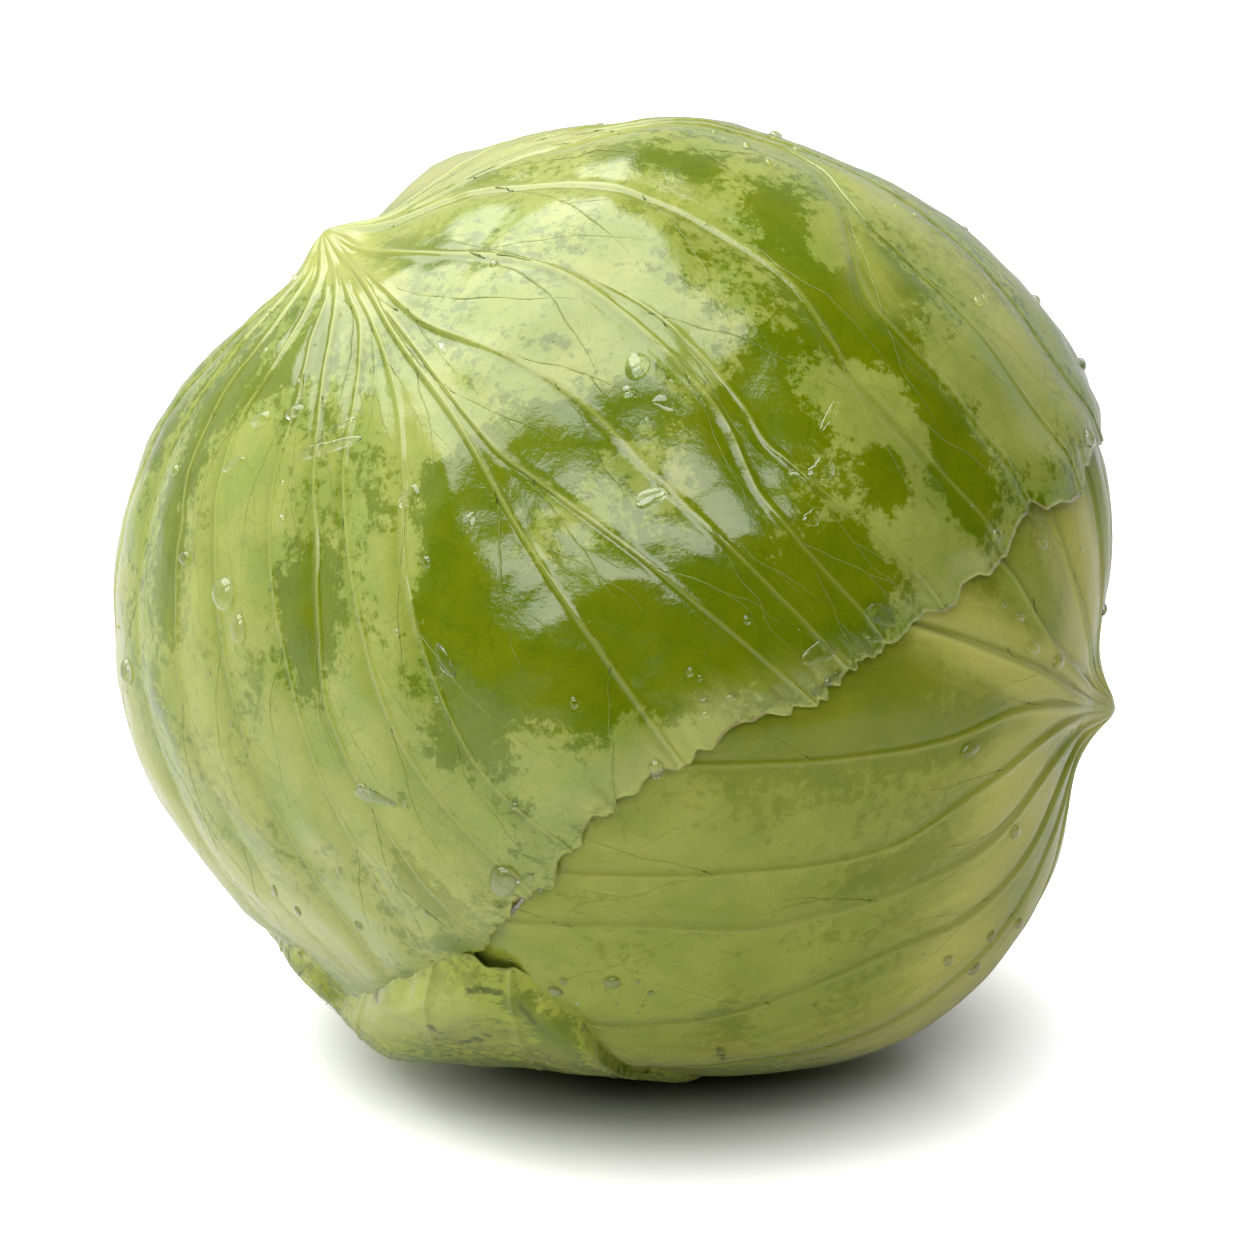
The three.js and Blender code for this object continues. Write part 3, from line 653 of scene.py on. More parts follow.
def veinTubes(index, leaf, bm, layers):  # side veins: fine ridges with three sides, sunk into the leaf
    for size, vein in sideVeins(leaf):
        vein = np.array(vein)
        steps = max(6, int((vein[-1][0] - vein[0][0]) * 1.5))
        reach = np.linspace(vein[0][0], vein[-1][0], steps + 1)
        bearing = curveThrough(vein, reach)
        bearing = bearing + 0.5 * lumps(np.stack([reach, bearing, 0 * reach], -1), 3, leaf["seed"] + 5)
        ring = head["radius"] * np.sin(np.radians(np.minimum(reach, 90)))
        taper = size * (1 - (np.arange(steps + 1) / steps) ** 2.5)
        edge = edgeReach(leaf, bearing) + 2
        made = bmesh.ops.create_grid(bm, x_segments=3, y_segments=steps, size=1)["verts"]
        corners = []
        for side, up in ((-1, -0.06), (0, 0.22), (1, -0.06), (-1, -0.06)):
            shifted = bearing + np.degrees(side * taper / ring)
            places, facts = skinPlaces(index, leaf, reach, shifted, edge, np.ones_like(reach))
            d = unit(places - np.array(head["middle"]))
            corners.append((places + d * (up * taper)[:, None], facts))
        for v in made:
            column, step = round((v.co.x + 1) * 1.5), round((v.co.y + 1) / 2 * steps)
            places, facts = corners[column]
            v.co = places[step] * toMetres
            v.co.z = max(v.co.z, 0)
            for name, layer in layers.items():
                v[layer] = facts[name][step]
            v[layers["vein"]] = 1
            v[layers["crest"]] = 0


def finishMesh(bm, name):
    bmesh.ops.recalc_face_normals(bm, faces=bm.faces)
    for face in bm.faces:
        face.smooth = True
    mesh = bpy.data.meshes.new(name)
    bm.to_mesh(mesh)
    bm.free()
    piece = bpy.data.objects.new(name, mesh)
    bpy.context.collection.objects.link(piece)
    return piece


def fillSockets(tree, node, inputs):  # a link or a plain value for each named socket, or _0 for the first
    for name, value in inputs.items():
        socket = node.inputs[int(name[1:])] if name[0] == "_" else node.inputs[name]
        if isinstance(value, bpy.types.NodeSocket):
            tree.links.new(value, socket)
        else:
            socket.default_value = value


def newNode(tree, kind, settings=(), **inputs):
    node = tree.nodes.new(kind)
    for name, value in dict(settings).items():
        setattr(node, name, value)
    fillSockets(tree, node, inputs)
    return node


def newMaterial(name):
    material = bpy.data.materials.new(name)
    material.use_nodes = True
    return material, material.node_tree, material.node_tree.nodes["Principled BSDF"]


def maths(tree, operation, a, b=0.0, c=0.0):
    return newNode(tree, "ShaderNodeMath", dict(operation=operation), _0=a, _1=b, _2=c).outputs[0]


def ramp(tree, value, low, high, fromValue=0.0, toValue=1.0):  # eased step between two values
    node = newNode(
        tree, "ShaderNodeMapRange", dict(interpolation_type="SMOOTHSTEP"),
        _0=value, _1=low, _2=high, _3=fromValue, _4=toValue,
    )
    return node.outputs[0]


def blend(tree, share, a, b, mode="MIX"):
    node = newNode(tree, "ShaderNodeMix", dict(data_type="RGBA", blend_type=mode), _0=share, _6=a, _7=b)
    return node.outputs[2]


def noiseField(tree, vector, scale, detail=3.0, roughness=0.55, distortion=0.0):
    node = newNode(
        tree, "ShaderNodeTexNoise", Vector=vector, Scale=scale, Detail=detail, Roughness=roughness,
        Distortion=distortion,
    )
    return node.outputs[0]


def cellEdges(tree, vector, scale):
    return newNode(
        tree, "ShaderNodeTexVoronoi", dict(feature="DISTANCE_TO_EDGE"), Vector=vector, Scale=scale,
    ).outputs[0]


def attribute(tree, name):
    return newNode(tree, "ShaderNodeAttribute", dict(attribute_name=name)).outputs["Fac"]


def millimetreCoordinates(tree, offset=(0, 0, 0)):
    place = newNode(tree, "ShaderNodeTexCoord").outputs["Object"]
    return newNode(
        tree, "ShaderNodeMapping", Vector=place, Location=offset, Scale=(1000, 1000, 1000),
    ).outputs[0]


def tint(tree, color, field, red, green, blue):  # what a field multiplies each channel by, low to high
    channels = [ramp(tree, field, 0.3, 0.7, *span) for span in (red, green, blue)]
    shades = newNode(tree, "ShaderNodeCombineColor", Red=channels[0], Green=channels[1], Blue=channels[2])
    return blend(tree, 1.0, color, shades.outputs[0], "MULTIPLY")


def leafSkinGroup():  # bare green under a cloudy wax bloom, with pale ribs and a fine net
    tree = bpy.data.node_groups.new("leafSkin", "ShaderNodeTree")
    face = tree.interface
    for name in ("Bare", "Wax", "Rib", "Edge", "Pale"):
        face.new_socket(name, in_out="INPUT", socket_type="NodeSocketColor")
    for name in ("Bareness", "Patch Size", "Net", "Seed"):
        face.new_socket(name, in_out="INPUT", socket_type="NodeSocketFloat")
    face.new_socket("Color", in_out="OUTPUT", socket_type="NodeSocketColor")
    for name in ("Roughness", "Height", "Coat"):
        face.new_socket(name, in_out="OUTPUT", socket_type="NodeSocketFloat")
    given = newNode(tree, "NodeGroupInput").outputs
    place = millimetreCoordinates(tree)
    seed = newNode(tree, "ShaderNodeCombineXYZ", X=given["Seed"], Y=given["Seed"]).outputs[0]
    place = newNode(tree, "ShaderNodeVectorMath", dict(operation="ADD"), _0=place, _1=seed).outputs[0]
    fromRib, crest, foot, along, fromEdge, vein, barePatch, palePatch, bruise, shade = (
        attribute(tree, name) for name in (
            "fromRib", "crest", "foot", "along", "fromEdge", "vein", "bare", "pale", "bruise", "shade",
        )
    )

    # wax bloom in clouds, with streaks that run with the ribs
    clouds = noiseField(tree, place, maths(tree, "DIVIDE", 1.0, given["Patch Size"]), 4.0, 0.62, 0.8)
    ribFrame = newNode(
        tree, "ShaderNodeCombineXYZ", X=maths(tree, "MULTIPLY", fromRib, 0.22),
        Y=maths(tree, "MULTIPLY", along, 0.035), Z=maths(tree, "MULTIPLY", given["Seed"], 0.1),
    ).outputs[0]
    streaks = noiseField(tree, ribFrame, 1.0, 3.0, 0.6, 0.4)
    mottle = noiseField(tree, place, 0.55, 3.0, 0.65)
    grain = noiseField(tree, place, 2.2, 2.0, 0.7)
    puddles = noiseField(tree, place, 0.17, 4.0, 0.68, 0.6)
    bare = given["Bareness"]
    shares = ((barePatch, 1.7), (clouds, 1.6), (puddles, 2.4), (streaks, 1.8), (mottle, 3.0), (grain, 0.8))
    for field, share in shares:
        bare = maths(tree, "MULTIPLY_ADD", field, share, bare)
    bare = ramp(tree, bare, 4.6, 5.25)
    color = blend(tree, bare, given["Wax"], given["Bare"])

    # darker and lighter depth in the blade
    depth = noiseField(tree, place, 0.09, 2.0, 0.6)
    color = tint(tree, color, depth, (0.86, 1.12), (0.9, 1.07), (0.8, 1.2))
    color = tint(tree, color, grain, (0.93, 1.06), (0.94, 1.05), (0.9, 1.1))
    palePlace = maths(tree, "MULTIPLY_ADD", maths(tree, "SUBTRACT", streaks, 0.5), 0.9, palePatch)
    color = blend(tree, ramp(tree, palePlace, 0.1, 0.9), color, given["Pale"])

    # the net: cells about 5 mm and 1.4 mm wide
    warp = newNode(tree, "ShaderNodeTexNoise", Vector=place, Scale=0.3, Detail=2.0).outputs["Color"]
    warped = newNode(
        tree, "ShaderNodeVectorMath", dict(operation="MULTIPLY_ADD"), _0=warp, _1=(3.2, 3.2, 3.2), _2=place,
    ).outputs[0]
    wide = ramp(tree, cellEdges(tree, warped, 0.17), 0.0, 0.05, 1.0, 0.0)
    fine = ramp(tree, cellEdges(tree, warped, 0.7), 0.0, 0.14, 1.0, 0.0)
    patchy = ramp(tree, clouds, 0.4, 0.6)
    wide = maths(tree, "MULTIPLY", wide, patchy)
    net = maths(tree, "MULTIPLY_ADD", wide, 0.45, maths(tree, "MULTIPLY", fine, 0.2))
    # painted shade beside each rib, from the shade fact
    color = blend(tree, shade, color, blend(tree, 1.0, given["Bare"], (0.75, 0.75, 0.7, 1), "MULTIPLY"))
    deep = blend(tree, 1.0, color, (0.62, 0.72, 0.4, 1), "MULTIPLY")
    color = blend(tree, maths(tree, "MULTIPLY", net, given["Net"]), color, deep)
    color = blend(tree, maths(tree, "MULTIPLY", vein, 0.22), color, given["Rib"])

    # ribs: pale crest, and a painted shade that darkens the foot on one side of each rib
    color = blend(tree, maths(tree, "MULTIPLY", foot, 0.8), color, given["Bare"])
    young = ramp(tree, along, 20.0, 130.0, 0.9, 0.45)
    color = blend(tree, maths(tree, "MULTIPLY", crest, young), color, given["Rib"])

    # edge: thin and pale, browned here and there
    rim = ramp(tree, maths(tree, "MULTIPLY_ADD", mottle, 1.6, fromEdge), 0.9, 1.7, 1.0, 0.0)
    color = blend(tree, maths(tree, "MULTIPLY", rim, 0.5), color, given["Edge"])
    brownPlace = ramp(tree, noiseField(tree, place, 0.11, 3.0), 0.5, 0.62)
    brown = maths(tree, "MULTIPLY", brownPlace, ramp(tree, fromEdge, 0.1, 0.9, 0.7, 0.0))
    spot = ramp(tree, maths(tree, "MULTIPLY_ADD", mottle, 0.8, bruise), 0.7, 1.15)
    color = blend(tree, brown, color, (0.2, 0.12, 0.04, 1))
    color = blend(tree, maths(tree, "MULTIPLY", spot, 0.8), color, (0.07, 0.09, 0.004, 1))

    # gloss and relief
    rough = maths(tree, "MULTIPLY_ADD", grain, 0.11, ramp(tree, bare, 0.0, 1.0, 0.14, 0.09))
    wet = ramp(tree, maths(tree, "MULTIPLY_ADD", mottle, 0.5, puddles), 0.6, 0.95, 0.05, 0.25)
    height = maths(tree, "MULTIPLY", mottle, 0.5)
    height = maths(tree, "MULTIPLY_ADD", grain, 0.16, height)
    height = maths(tree, "MULTIPLY_ADD", noiseField(tree, place, 0.3, 2.0, 0.6), 1.1, height)
    newNode(tree, "NodeGroupOutput", Color=color, Roughness=rough, Height=height, Coat=wet)
    return tree


def leafMaterial(name, look, gloss):
    material, tree, shader = newMaterial(name)
    group = newNode(tree, "ShaderNodeGroup", dict(node_tree=leafSkin))
    fillSockets(tree, group, look)
    skin = group.outputs
    bump = newNode(tree, "ShaderNodeBump", Strength=0.3, Distance=0.0003, Height=skin["Height"]).outputs[0]
    fillSockets(tree, shader, {
        "Base Color": skin["Color"], "Roughness": skin["Roughness"], "Coat Weight": skin["Coat"], "Normal": bump,
        "Coat Roughness": 0.16, "Specular IOR Level": gloss,
    })
    return material


leafSkin = leafSkinGroup()
frontLook = {
    "Bare": (0.13, 0.178, 0.001, 1), "Wax": (0.278, 0.332, 0.055, 1), "Rib": (0.32, 0.355, 0.07, 1),
    "Edge": (0.42, 0.46, 0.09, 1), "Pale": (0.37, 0.4, 0.08, 1), "Bareness": -0.1, "Patch Size": 22.0,
    "Net": 0.8, "Seed": 5.0,
}
rightLook = {
    "Bare": (0.187, 0.23, 0.013, 1), "Wax": (0.262, 0.313, 0.037, 1), "Rib": (0.3, 0.325, 0.06, 1),
    "Edge": (0.38, 0.38, 0.08, 1), "Pale": (0.49, 0.475, 0.1, 1), "Bareness": -0.35, "Patch Size": 30.0,
    "Net": 0.4, "Seed": 61.0,
}
lowLook = {
    "Bare": (0.16, 0.21, 0.004, 1), "Wax": (0.34, 0.395, 0.034, 1), "Rib": (0.34, 0.37, 0.08, 1),
    "Edge": (0.38, 0.4, 0.1, 1), "Pale": (0.4, 0.44, 0.08, 1), "Bareness": 0.0, "Patch Size": 20.0,
    "Net": 0.5, "Seed": 97.0,
}
heartLook = {
    "Bare": (0.18, 0.225, 0.02, 1), "Wax": (0.27, 0.305, 0.07, 1), "Rib": (0.4, 0.43, 0.15, 1),
    "Edge": (0.36, 0.38, 0.12, 1), "Pale": (0.37, 0.39, 0.15, 1), "Bareness": -0.2, "Patch Size": 30.0,
    "Net": 0.4, "Seed": 131.0,
}
looks = [rightLook, frontLook, lowLook]

leafPieces = []
for index, leaf in enumerate(leaves):
    piece = leafMesh(index, leaf)
    piece.data.materials.append(leafMaterial(leaf["name"] + "Skin", looks[index], leaf["gloss"]))
    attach(piece, "root")
    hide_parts(leaf["node"])
    leafPieces.append(piece)
    print(leaf["name"], "made:", len(piece.data.polygons), "faces")

# the heart: tightly wrapped leaves that show only round the stem and in the gaps
heart = dict(
    name="heart", node="heart", slot="heart", wraps=3, step=1.5, slant=0.3, ribs=26,
    columns=300, rows=160, seat=(18, 12), seatRadius=69.3, wander=3, crest=0.5, sunk=0.6, gloss=0.35,
)


def heartMesh():
    bm = bmesh.new()
    columns, rows = heart["columns"], heart["rows"]
    bmesh.ops.create_grid(bm, x_segments=columns, y_segments=rows, size=1)
    turn = np.array([(v.co.x + 1) * 180 for v in bm.verts])
    turn[turn > 359.999] = 0
    fromStem = np.array([(v.co.y + 1) * 90 for v in bm.verts])
    d = headDirection(turn, fromStem)
    wrap = heart["wraps"] * turn / 360 + heart["slant"] * fromStem / 180
    wander = heart["wander"] * lumps(d * head["radius"], 30, 51)
    aside = (turn + wander) % (360 / heart["ribs"]) - 180 / heart["ribs"]
    ring = head["radius"] * np.sin(np.radians(fromStem))
    fromRib = np.abs(np.radians(aside)) * ring
    crest = bell(fromRib / 0.9) * smoothStep(0, 12, ring)
    radius = pressedRadius(d, bedHeight) - heart["step"] * (wrap % 1) + heart["crest"] * crest - heart["sunk"]
    under = smoothStep(-heart["seat"][0], -heart["seat"][1], -fromStem)
    radius = radius + under * (heart["seatRadius"] - radius)
    facts = dict(
        crest=crest, foot=0 * ring, fromRib=np.minimum(fromRib, 30), along=np.radians(fromStem) * head["radius"],
        fromEdge=30 + 0 * ring, bare=0 * ring, pale=0.6 + 0 * ring, bruise=0 * ring, shade=0 * ring, vein=0 * ring,
    )
    putPlaces(bm, np.array(head["middle"]) + d * radius[:, None], facts)
    bmesh.ops.remove_doubles(bm, verts=bm.verts, dist=1e-7)
    return finishMesh(bm, heart["name"])


piece = heartMesh()
piece.data.materials.append(leafMaterial("heartSkin", heartLook, heart["gloss"]))
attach(piece, "root")
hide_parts(heart["node"])
print("heart made:", len(piece.data.polygons), "faces")

# the cut stem: its outline as [from its axis, from its foot]
stump = dict(
    name="stemStump", node="stem_stump", slot="stem_stump", foot=70, sides=72, unevenness=0.5,
    outline=[
        [0, 0], [11.2, 0], [11.8, 3], [12.4, 7], [12.9, 11], [13.4, 15], [13.8, 17], [13.7, 18], [13.1, 18.7],
        [12.2, 18.9], [11, 18.8], [9.5, 18.5], [7.5, 18.6], [5.5, 18.9], [3.5, 18.8], [1.5, 18.5], [0, 18.4],
    ],
)


def stumpMesh():
    bm = bmesh.new()
    points = [bm.verts.new((r, 0, h)) for r, h in stump["outline"]]
    edges = [bm.edges.new(pair) for pair in zip(points, points[1:])]
    bmesh.ops.spin(
        bm, geom=points + edges, cent=(0, 0, 0), axis=(0, 0, 1), angle=2 * math.pi, steps=stump["sides"],
        use_merge=True,
    )
    bmesh.ops.remove_doubles(bm, verts=bm.verts, dist=1e-5)
    flat = np.array([v.co for v in bm.verts])
    around = np.linalg.norm(flat[:, :2], axis=1)
    grain = stump["unevenness"] * lumps(flat * (1, 1, 0.3), 5, 71) * smoothStep(0, 8, around)
    outward = flat / np.maximum(around, 1)[:, None] * (1, 1, 0)
    flat = flat + outward * grain[:, None]
    side, up = Vector(stemAxis).orthogonal().normalized(), Vector(stemAxis)
    axes = np.array([side, up.cross(side), up])
    places = np.array(head["middle"]) + stemAxis * stump["foot"] + flat @ axes
    putPlaces(bm, places, dict(fromAxis=around, height=flat[:, 2]))
    return finishMesh(bm, stump["name"])


def stumpMaterial():
    material, tree, shader = newMaterial("cutStem")
    place = millimetreCoordinates(tree)
    grain = noiseField(tree, place, 0.9, 5.0, 0.65)
    reach = maths(tree, "MULTIPLY_ADD", grain, 2.4, attribute(tree, "fromAxis"))
    color = blend(tree, ramp(tree, reach, 6.0, 10.5), (0.56, 0.58, 0.34, 1), (0.42, 0.45, 0.2, 1))
    ring = maths(tree, "MULTIPLY", ramp(tree, reach, 9.6, 10.6), ramp(tree, reach, 10.8, 12.0, 1.0, 0.0))
    color = blend(tree, maths(tree, "MULTIPLY", ring, 0.5), color, (0.3, 0.26, 0.1, 1))
    dry = noiseField(tree, place, 0.2, 4.0, 0.6)
    dry = maths(tree, "MULTIPLY", ramp(tree, dry, 0.45, 0.65), ramp(tree, attribute(tree, "height"), 14.0, 18.0))
    color = blend(tree, maths(tree, "MULTIPLY", dry, 0.45), color, (0.36, 0.25, 0.1, 1))
    bump = newNode(tree, "ShaderNodeBump", Strength=0.4, Distance=0.0005, Height=grain).outputs[0]
    fillSockets(tree, shader, {"Base Color": color, "Normal": bump, "Roughness": 0.6})
    return material


piece = stumpMesh()
piece.data.materials.append(stumpMaterial())
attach(piece, "root")
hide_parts(stump["node"])
print("stem made:", len(piece.data.polygons), "faces")

# water on the leaves: centre, width and height in pixels of the view
drops = dict(
    name="waterDrops", bulge=0.7, sprayBulge=0.6, filmBulge=0.24, seed=8,
    small=190, spread=[18, 45, 110], sprayWidth=(1.6, 3.8),  # fine spray, in pixels of the view
    round=70, roundWidth=[0.0006, 0.001, 0.0016, 0.0026],  # drops on the other sides, in metres
    places=[
        (637, 366, 24, 24), (628, 392, 14, 12), (671, 381, 4, 4), (647, 420, 5, 5), (296, 412, 20, 12),
        (262, 420, 20, 14), (301, 382, 5, 7), (234, 465, 26, 10), (494, 264, 8, 8), (283, 483, 4, 5),
        (282, 520, 8, 11), (185, 558, 10, 15), (225, 594, 20, 31), (239, 629, 14, 27), (427, 562, 8, 12),
        (397, 632, 6, 7), (128, 672, 12, 24), (362, 787, 8, 8), (231, 725, 5, 7), (747, 620, 9, 9),
        (574, 703, 8, 11), (704, 702, 8, 8), (705, 715, 8, 9), (731, 698, 10, 7), (828, 682, 9, 9),
        (781, 700, 5, 5), (656, 769, 15, 17), (504, 881, 28, 27), (530, 877, 8, 10), (515, 806, 8, 8),
        (1042, 544, 10, 10), (1004, 605, 6, 6), (1020, 617, 9, 9), (1033, 649, 14, 13), (1058, 662, 12, 13),
        (970, 750, 20, 12), (874, 639, 14, 9), (997, 535, 10, 13), (1015, 832, 10, 13), (1051, 880, 5, 7),
        (1019, 923, 9, 8), (991, 936, 10, 9), (973, 968, 17, 8), (948, 961, 11, 9), (405, 806, 7, 6),
        (340, 870, 6, 6), (298, 911, 8, 10), (359, 926, 10, 7), (427, 914, 6, 5), (275, 891, 8, 12),
        (612, 982, 17, 10), (563, 981, 8, 7), (556, 990, 15, 8), (638, 981, 5, 5), (651, 993, 6, 5),
        (511, 961, 5, 5), (690, 672, 8, 9), (700, 678, 6, 6), (437, 700, 6, 7), (300, 955, 6, 6),
    ],
    # thin films of water, with a slant in degrees
    films=[
        (664, 403, 22, 13, -10), (651, 497, 28, 17, 20), (411, 497, 16, 26, -30), (322, 449, 62, 15, 0),
        (444, 349, 6, 18, 25), (445, 662, 12, 30, 35), (830, 415, 8, 34, -25), (822, 470, 26, 20, 0),
        (800, 475, 18, 12, 10), (335, 430, 40, 8, 18), (376, 797, 40, 14, 10), (515, 908, 5, 36, -25),
        (880, 615, 34, 16, -20), (820, 652, 30, 22, 30), (812, 518, 14, 18, 0), (470, 520, 10, 16, 0),
    ],
)


def skinTree():  # the leaves as one surface to drop things on
    places, faces = [], []
    for piece in leafPieces:
        first = len(places)
        places += [v.co.copy() for v in piece.data.vertices]
        faces += [[first + i for i in face.vertices] for face in piece.data.polygons]
    return BVHTree.FromPolygons(places, faces)


def dropAt(bm, spot, out, width, height, slant, bulge, fineness, rng):
    out = (out + (spot - middlePlace).normalized()).normalized()
    side = Vector(viewRight) - out * out.dot(Vector(viewRight))
    side = side.normalized() if side.length > 0.2 else out.orthogonal().normalized()
    rise = out.cross(side)
    turned = side * math.cos(math.radians(slant)) + rise * math.sin(math.radians(slant))
    axes = (turned, out.cross(turned), out)
    seen = [max(0.55, math.hypot(a.dot(Vector(viewRight)), a.dot(Vector(viewUp)))) for a in axes]
    sizes = [width / 2 / seen[0], height / 2 / seen[1]]
    sizes.append(bulge * min(sizes))
    frameOf = Matrix([[a[i] * s for a, s in zip(axes, sizes)] for i in range(3)]).to_4x4()
    frameOf.translation = spot
    made = bmesh.ops.create_icosphere(bm, subdivisions=fineness, radius=1)["verts"]
    phases = rng.uniform(0, 6.28, 2)
    uneven = 0.06 if bulge > 0.3 else 0.17
    for v in made:
        around = math.atan2(v.co.y, v.co.x)
        swell = 1 + uneven * (math.sin(2 * around + phases[0]) + 0.7 * math.sin(3 * around + phases[1]))
        v.co.x, v.co.y = v.co.x * swell, v.co.y * swell
        v.co.z *= 1 if v.co.z > 0 else 0.3
    bmesh.ops.transform(bm, matrix=frameOf, verts=made)


def waterDrops():
    bm = bmesh.new()
    rng = np.random.default_rng(drops["seed"])
    skin = skinTree()
    eyePlace = middlePlace + Vector(eye * toMetres)
    seen = [(*place, 0, drops["bulge"]) for place in drops["places"]]
    seen += [(*film, drops["filmBulge"]) for film in drops["films"]]
    for i in range(drops["small"]):  # fine spray, nearer some places than others
        home = seen[rng.integers(len(drops["places"]))]
        spread = rng.choice(drops["spread"])
        size = rng.uniform(*drops["sprayWidth"])
        x, y = home[0] + rng.normal(0, spread), home[1] + rng.normal(0, spread)
        seen.append((x, y, size, size, 0, drops["sprayBulge"]))
    for x, y, width, height, slant, bulge in seen:
        aim = Vector((inView(x, y) - eye)).normalized()
        spot, out = skin.ray_cast(eyePlace, aim)[:2]
        if spot is None:
            continue
        fineness = 1 if max(width, height) < 4 else 3 if max(width, height) < 14 else 4
        scale = view["pixel"] * toMetres
        dropAt(bm, spot, out, width * scale, height * scale, slant, bulge, fineness, rng)
    for i in range(drops["round"]):  # and some on the sides turned from the camera
        d = Vector(roomDirection(rng.uniform(60, 300), rng.uniform(-10, 85)))
        spot, out = skin.ray_cast(middlePlace + d * 0.2, -d)[:2]
        size = rng.choice(drops["roundWidth"])
        dropAt(bm, spot, out, size, size * rng.uniform(1, 1.4), 0, drops["bulge"], 2, rng)
    return finishMesh(bm, drops["name"])


def waterMaterial():
    material, tree, shader = newMaterial("water")
    fillSockets(tree, shader, {
        "Base Color": (1, 1, 1, 1), "Roughness": 0.02, "IOR": 1.38, "Coat Weight": 1, "Transmission Weight": 1,
    })
    return material


middlePlace = Vector(head["middle"]) * toMetres
piece = waterDrops()
piece.data.materials.append(waterMaterial())
piece.visible_shadow = False
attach(piece, "root")
print("water drops made:", len(piece.data.polygons), "faces")

studio = dict(
    reach=4.0, floor=(0.92, 0.92, 0.92, 1), floorRoughness=0.14, mirroredFloor=0.6,
    backdrop=2.0, mirroredShare=0.3, darkRoom=0.04, darkTowards=(0.42, -0.9, 0.1),
    # painted shadow and glow on the floor: round the head it darkens to the shadow colour, from shadeFrom to
    # shadeTo millimetres, and it gives off a painted glow from glowFrom to glowTo
    paintedFloorShadow=(0.045, 0.045, 0.033, 1), shadeFrom=14, shadeTo=54, glow=0.8, glowFrom=34, glowTo=74,
    shadeOffset=(-8, 0, 0), shadeStretch=(0.76, 1, 1),
    # how the surround dims towards the front, the top and the right: from, to, and the two strengths
    frontDim=(-0.2, 0.25), topDim=(0.4, 0.8, 1.0, 0.25), rightDim=(0.0, 0.7, 1.0, 0.85),
    # name, place, size, brightness, where it points, and roll
    lamps=(
        ("overhead", (-0.474, 0.156, 1.0), (1.15, 1.47), 4.0, (-0.474, 0.156, 0), 18),
        ("frontBox", (-0.02, -0.8, 0.69), (0.98, 0.31), 4.2, (0, 0, 0.08), 16),
    ),
)


def studioFloor():
    bm = bmesh.new()
    bmesh.ops.create_grid(bm, x_segments=1, y_segments=1, size=studio["reach"])
    floor = finishMesh(bm, "floor")
    material, tree, shader = newMaterial("glossyWhite")
    place = newNode(
        tree, "ShaderNodeVectorMath", dict(operation="MULTIPLY"),
        _0=millimetreCoordinates(tree, studio["shadeOffset"]), _1=studio["shadeStretch"],
    ).outputs[0]
    away = newNode(tree, "ShaderNodeVectorMath", dict(operation="LENGTH"), Vector=place).outputs["Value"]
    # painted contact shadow round the head, seen only by the camera
    shadow = ramp(tree, away, studio["shadeFrom"], studio["shadeTo"])
    rays = newNode(tree, "ShaderNodeLightPath").outputs
    shadow = maths(tree, "MAXIMUM", shadow, maths(tree, "SUBTRACT", 1.0, rays["Is Camera Ray"]))
    color = blend(tree, shadow, studio["paintedFloorShadow"], studio["floor"])
    dim = maths(tree, "MULTIPLY", rays["Is Glossy Ray"], 1 - studio["mirroredFloor"])
    # painted glow: the floor gives off light away from the head, seen only by the camera
    glow = ramp(tree, away, studio["glowFrom"], studio["glowTo"], 0.0, studio["glow"])
    fillSockets(tree, shader, {
        "Base Color": blend(tree, dim, color, (0, 0, 0, 1)), "Roughness": studio["floorRoughness"], "IOR": 1.7,
        "Emission Color": (1, 1, 1, 1), "Emission Strength": maths(tree, "MULTIPLY", glow, rays["Is Camera Ray"]),
    })
    floor.data.materials.append(material)


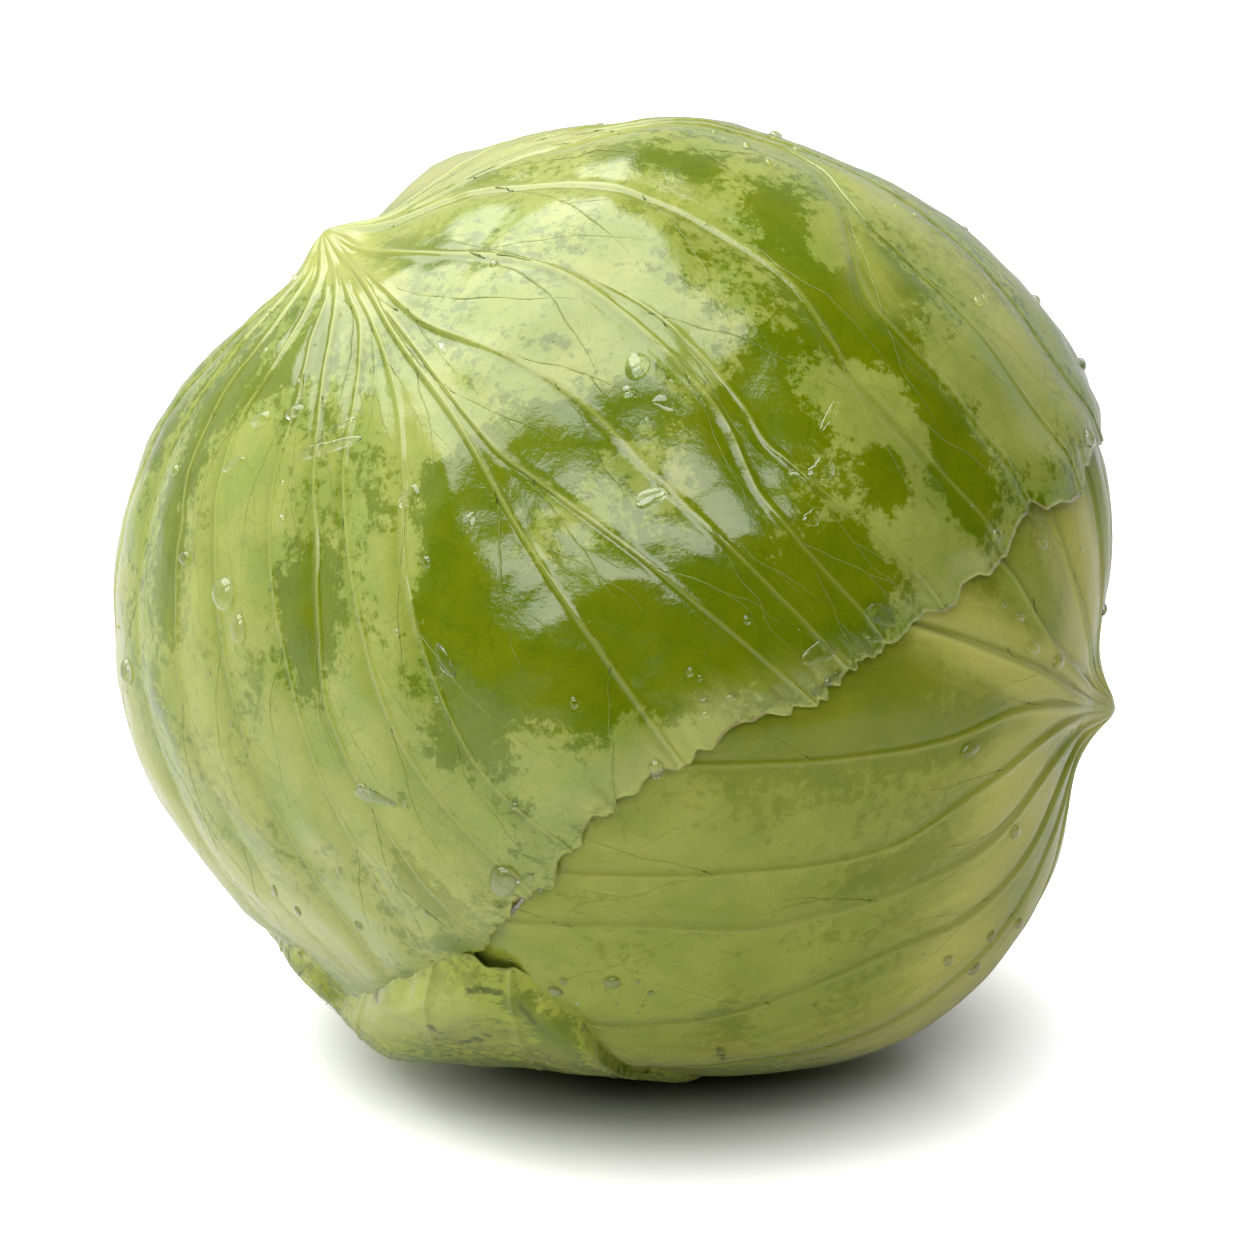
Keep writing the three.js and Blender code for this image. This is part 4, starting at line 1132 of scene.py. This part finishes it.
def softBox(name, place, size, brightness, aim, roll):
    light = bpy.data.lights.new(name, "AREA")
    light.shape = "RECTANGLE"
    light.size, light.size_y = size
    light.energy = brightness * math.pi * size[0] * size[1]
    lamp = bpy.data.objects.new(name, light)
    lamp.location = place
    turn = (Vector(aim) - Vector(place)).to_track_quat("-Z", "Y")
    lamp.rotation_euler = (turn @ Quaternion((0, 0, 1), math.radians(roll))).to_euler()
    bpy.context.collection.objects.link(lamp)


def studioSurround():  # a bright backdrop, and a dark room in front
    world = bpy.data.worlds.new("surround")
    world.use_nodes = True
    tree = world.node_tree
    direction = newNode(tree, "ShaderNodeTexCoord").outputs["Generated"]
    facing = newNode(
        tree, "ShaderNodeVectorMath", dict(operation="DOT_PRODUCT"), _0=direction, _1=studio["darkTowards"],
    ).outputs["Value"]
    strength = ramp(tree, facing, *studio["frontDim"], studio["backdrop"], studio["darkRoom"])
    rise = newNode(tree, "ShaderNodeSeparateXYZ", Vector=direction).outputs["Z"]
    strength = maths(tree, "MULTIPLY", strength, ramp(tree, rise, *studio["topDim"]))
    aside = newNode(tree, "ShaderNodeSeparateXYZ", Vector=direction).outputs["X"]
    strength = maths(tree, "MULTIPLY", strength, ramp(tree, aside, *studio["rightDim"]))
    mirrored = newNode(tree, "ShaderNodeLightPath").outputs["Is Glossy Ray"]
    strength = maths(tree, "MULTIPLY", strength, ramp(tree, mirrored, 0.0, 1.0, 1.0, studio["mirroredShare"]))
    tree.links.new(strength, tree.nodes["Background"].inputs["Strength"])
    tree.nodes["Background"].inputs["Color"].default_value = (1, 1, 1, 1)
    bpy.context.scene.world = world


def studioCamera():
    lens = bpy.data.cameras.new("camera")
    lens.lens, lens.sensor_width = view["lens"], 36
    lens.clip_start = 0.05
    camera = bpy.data.objects.new("camera", lens)
    camera.location = (np.array(head["middle"]) + eye) * toMetres
    camera.rotation_euler = (math.pi / 2 - viewRise, 0, 0)
    bpy.context.collection.objects.link(camera)
    bpy.context.scene.camera = camera


studioFloor()
for lamp in studio["lamps"]:
    softBox(*lamp)
studioSurround()
bpy.context.scene.view_settings.view_transform = "Standard"
studioCamera()
print("studio ready")
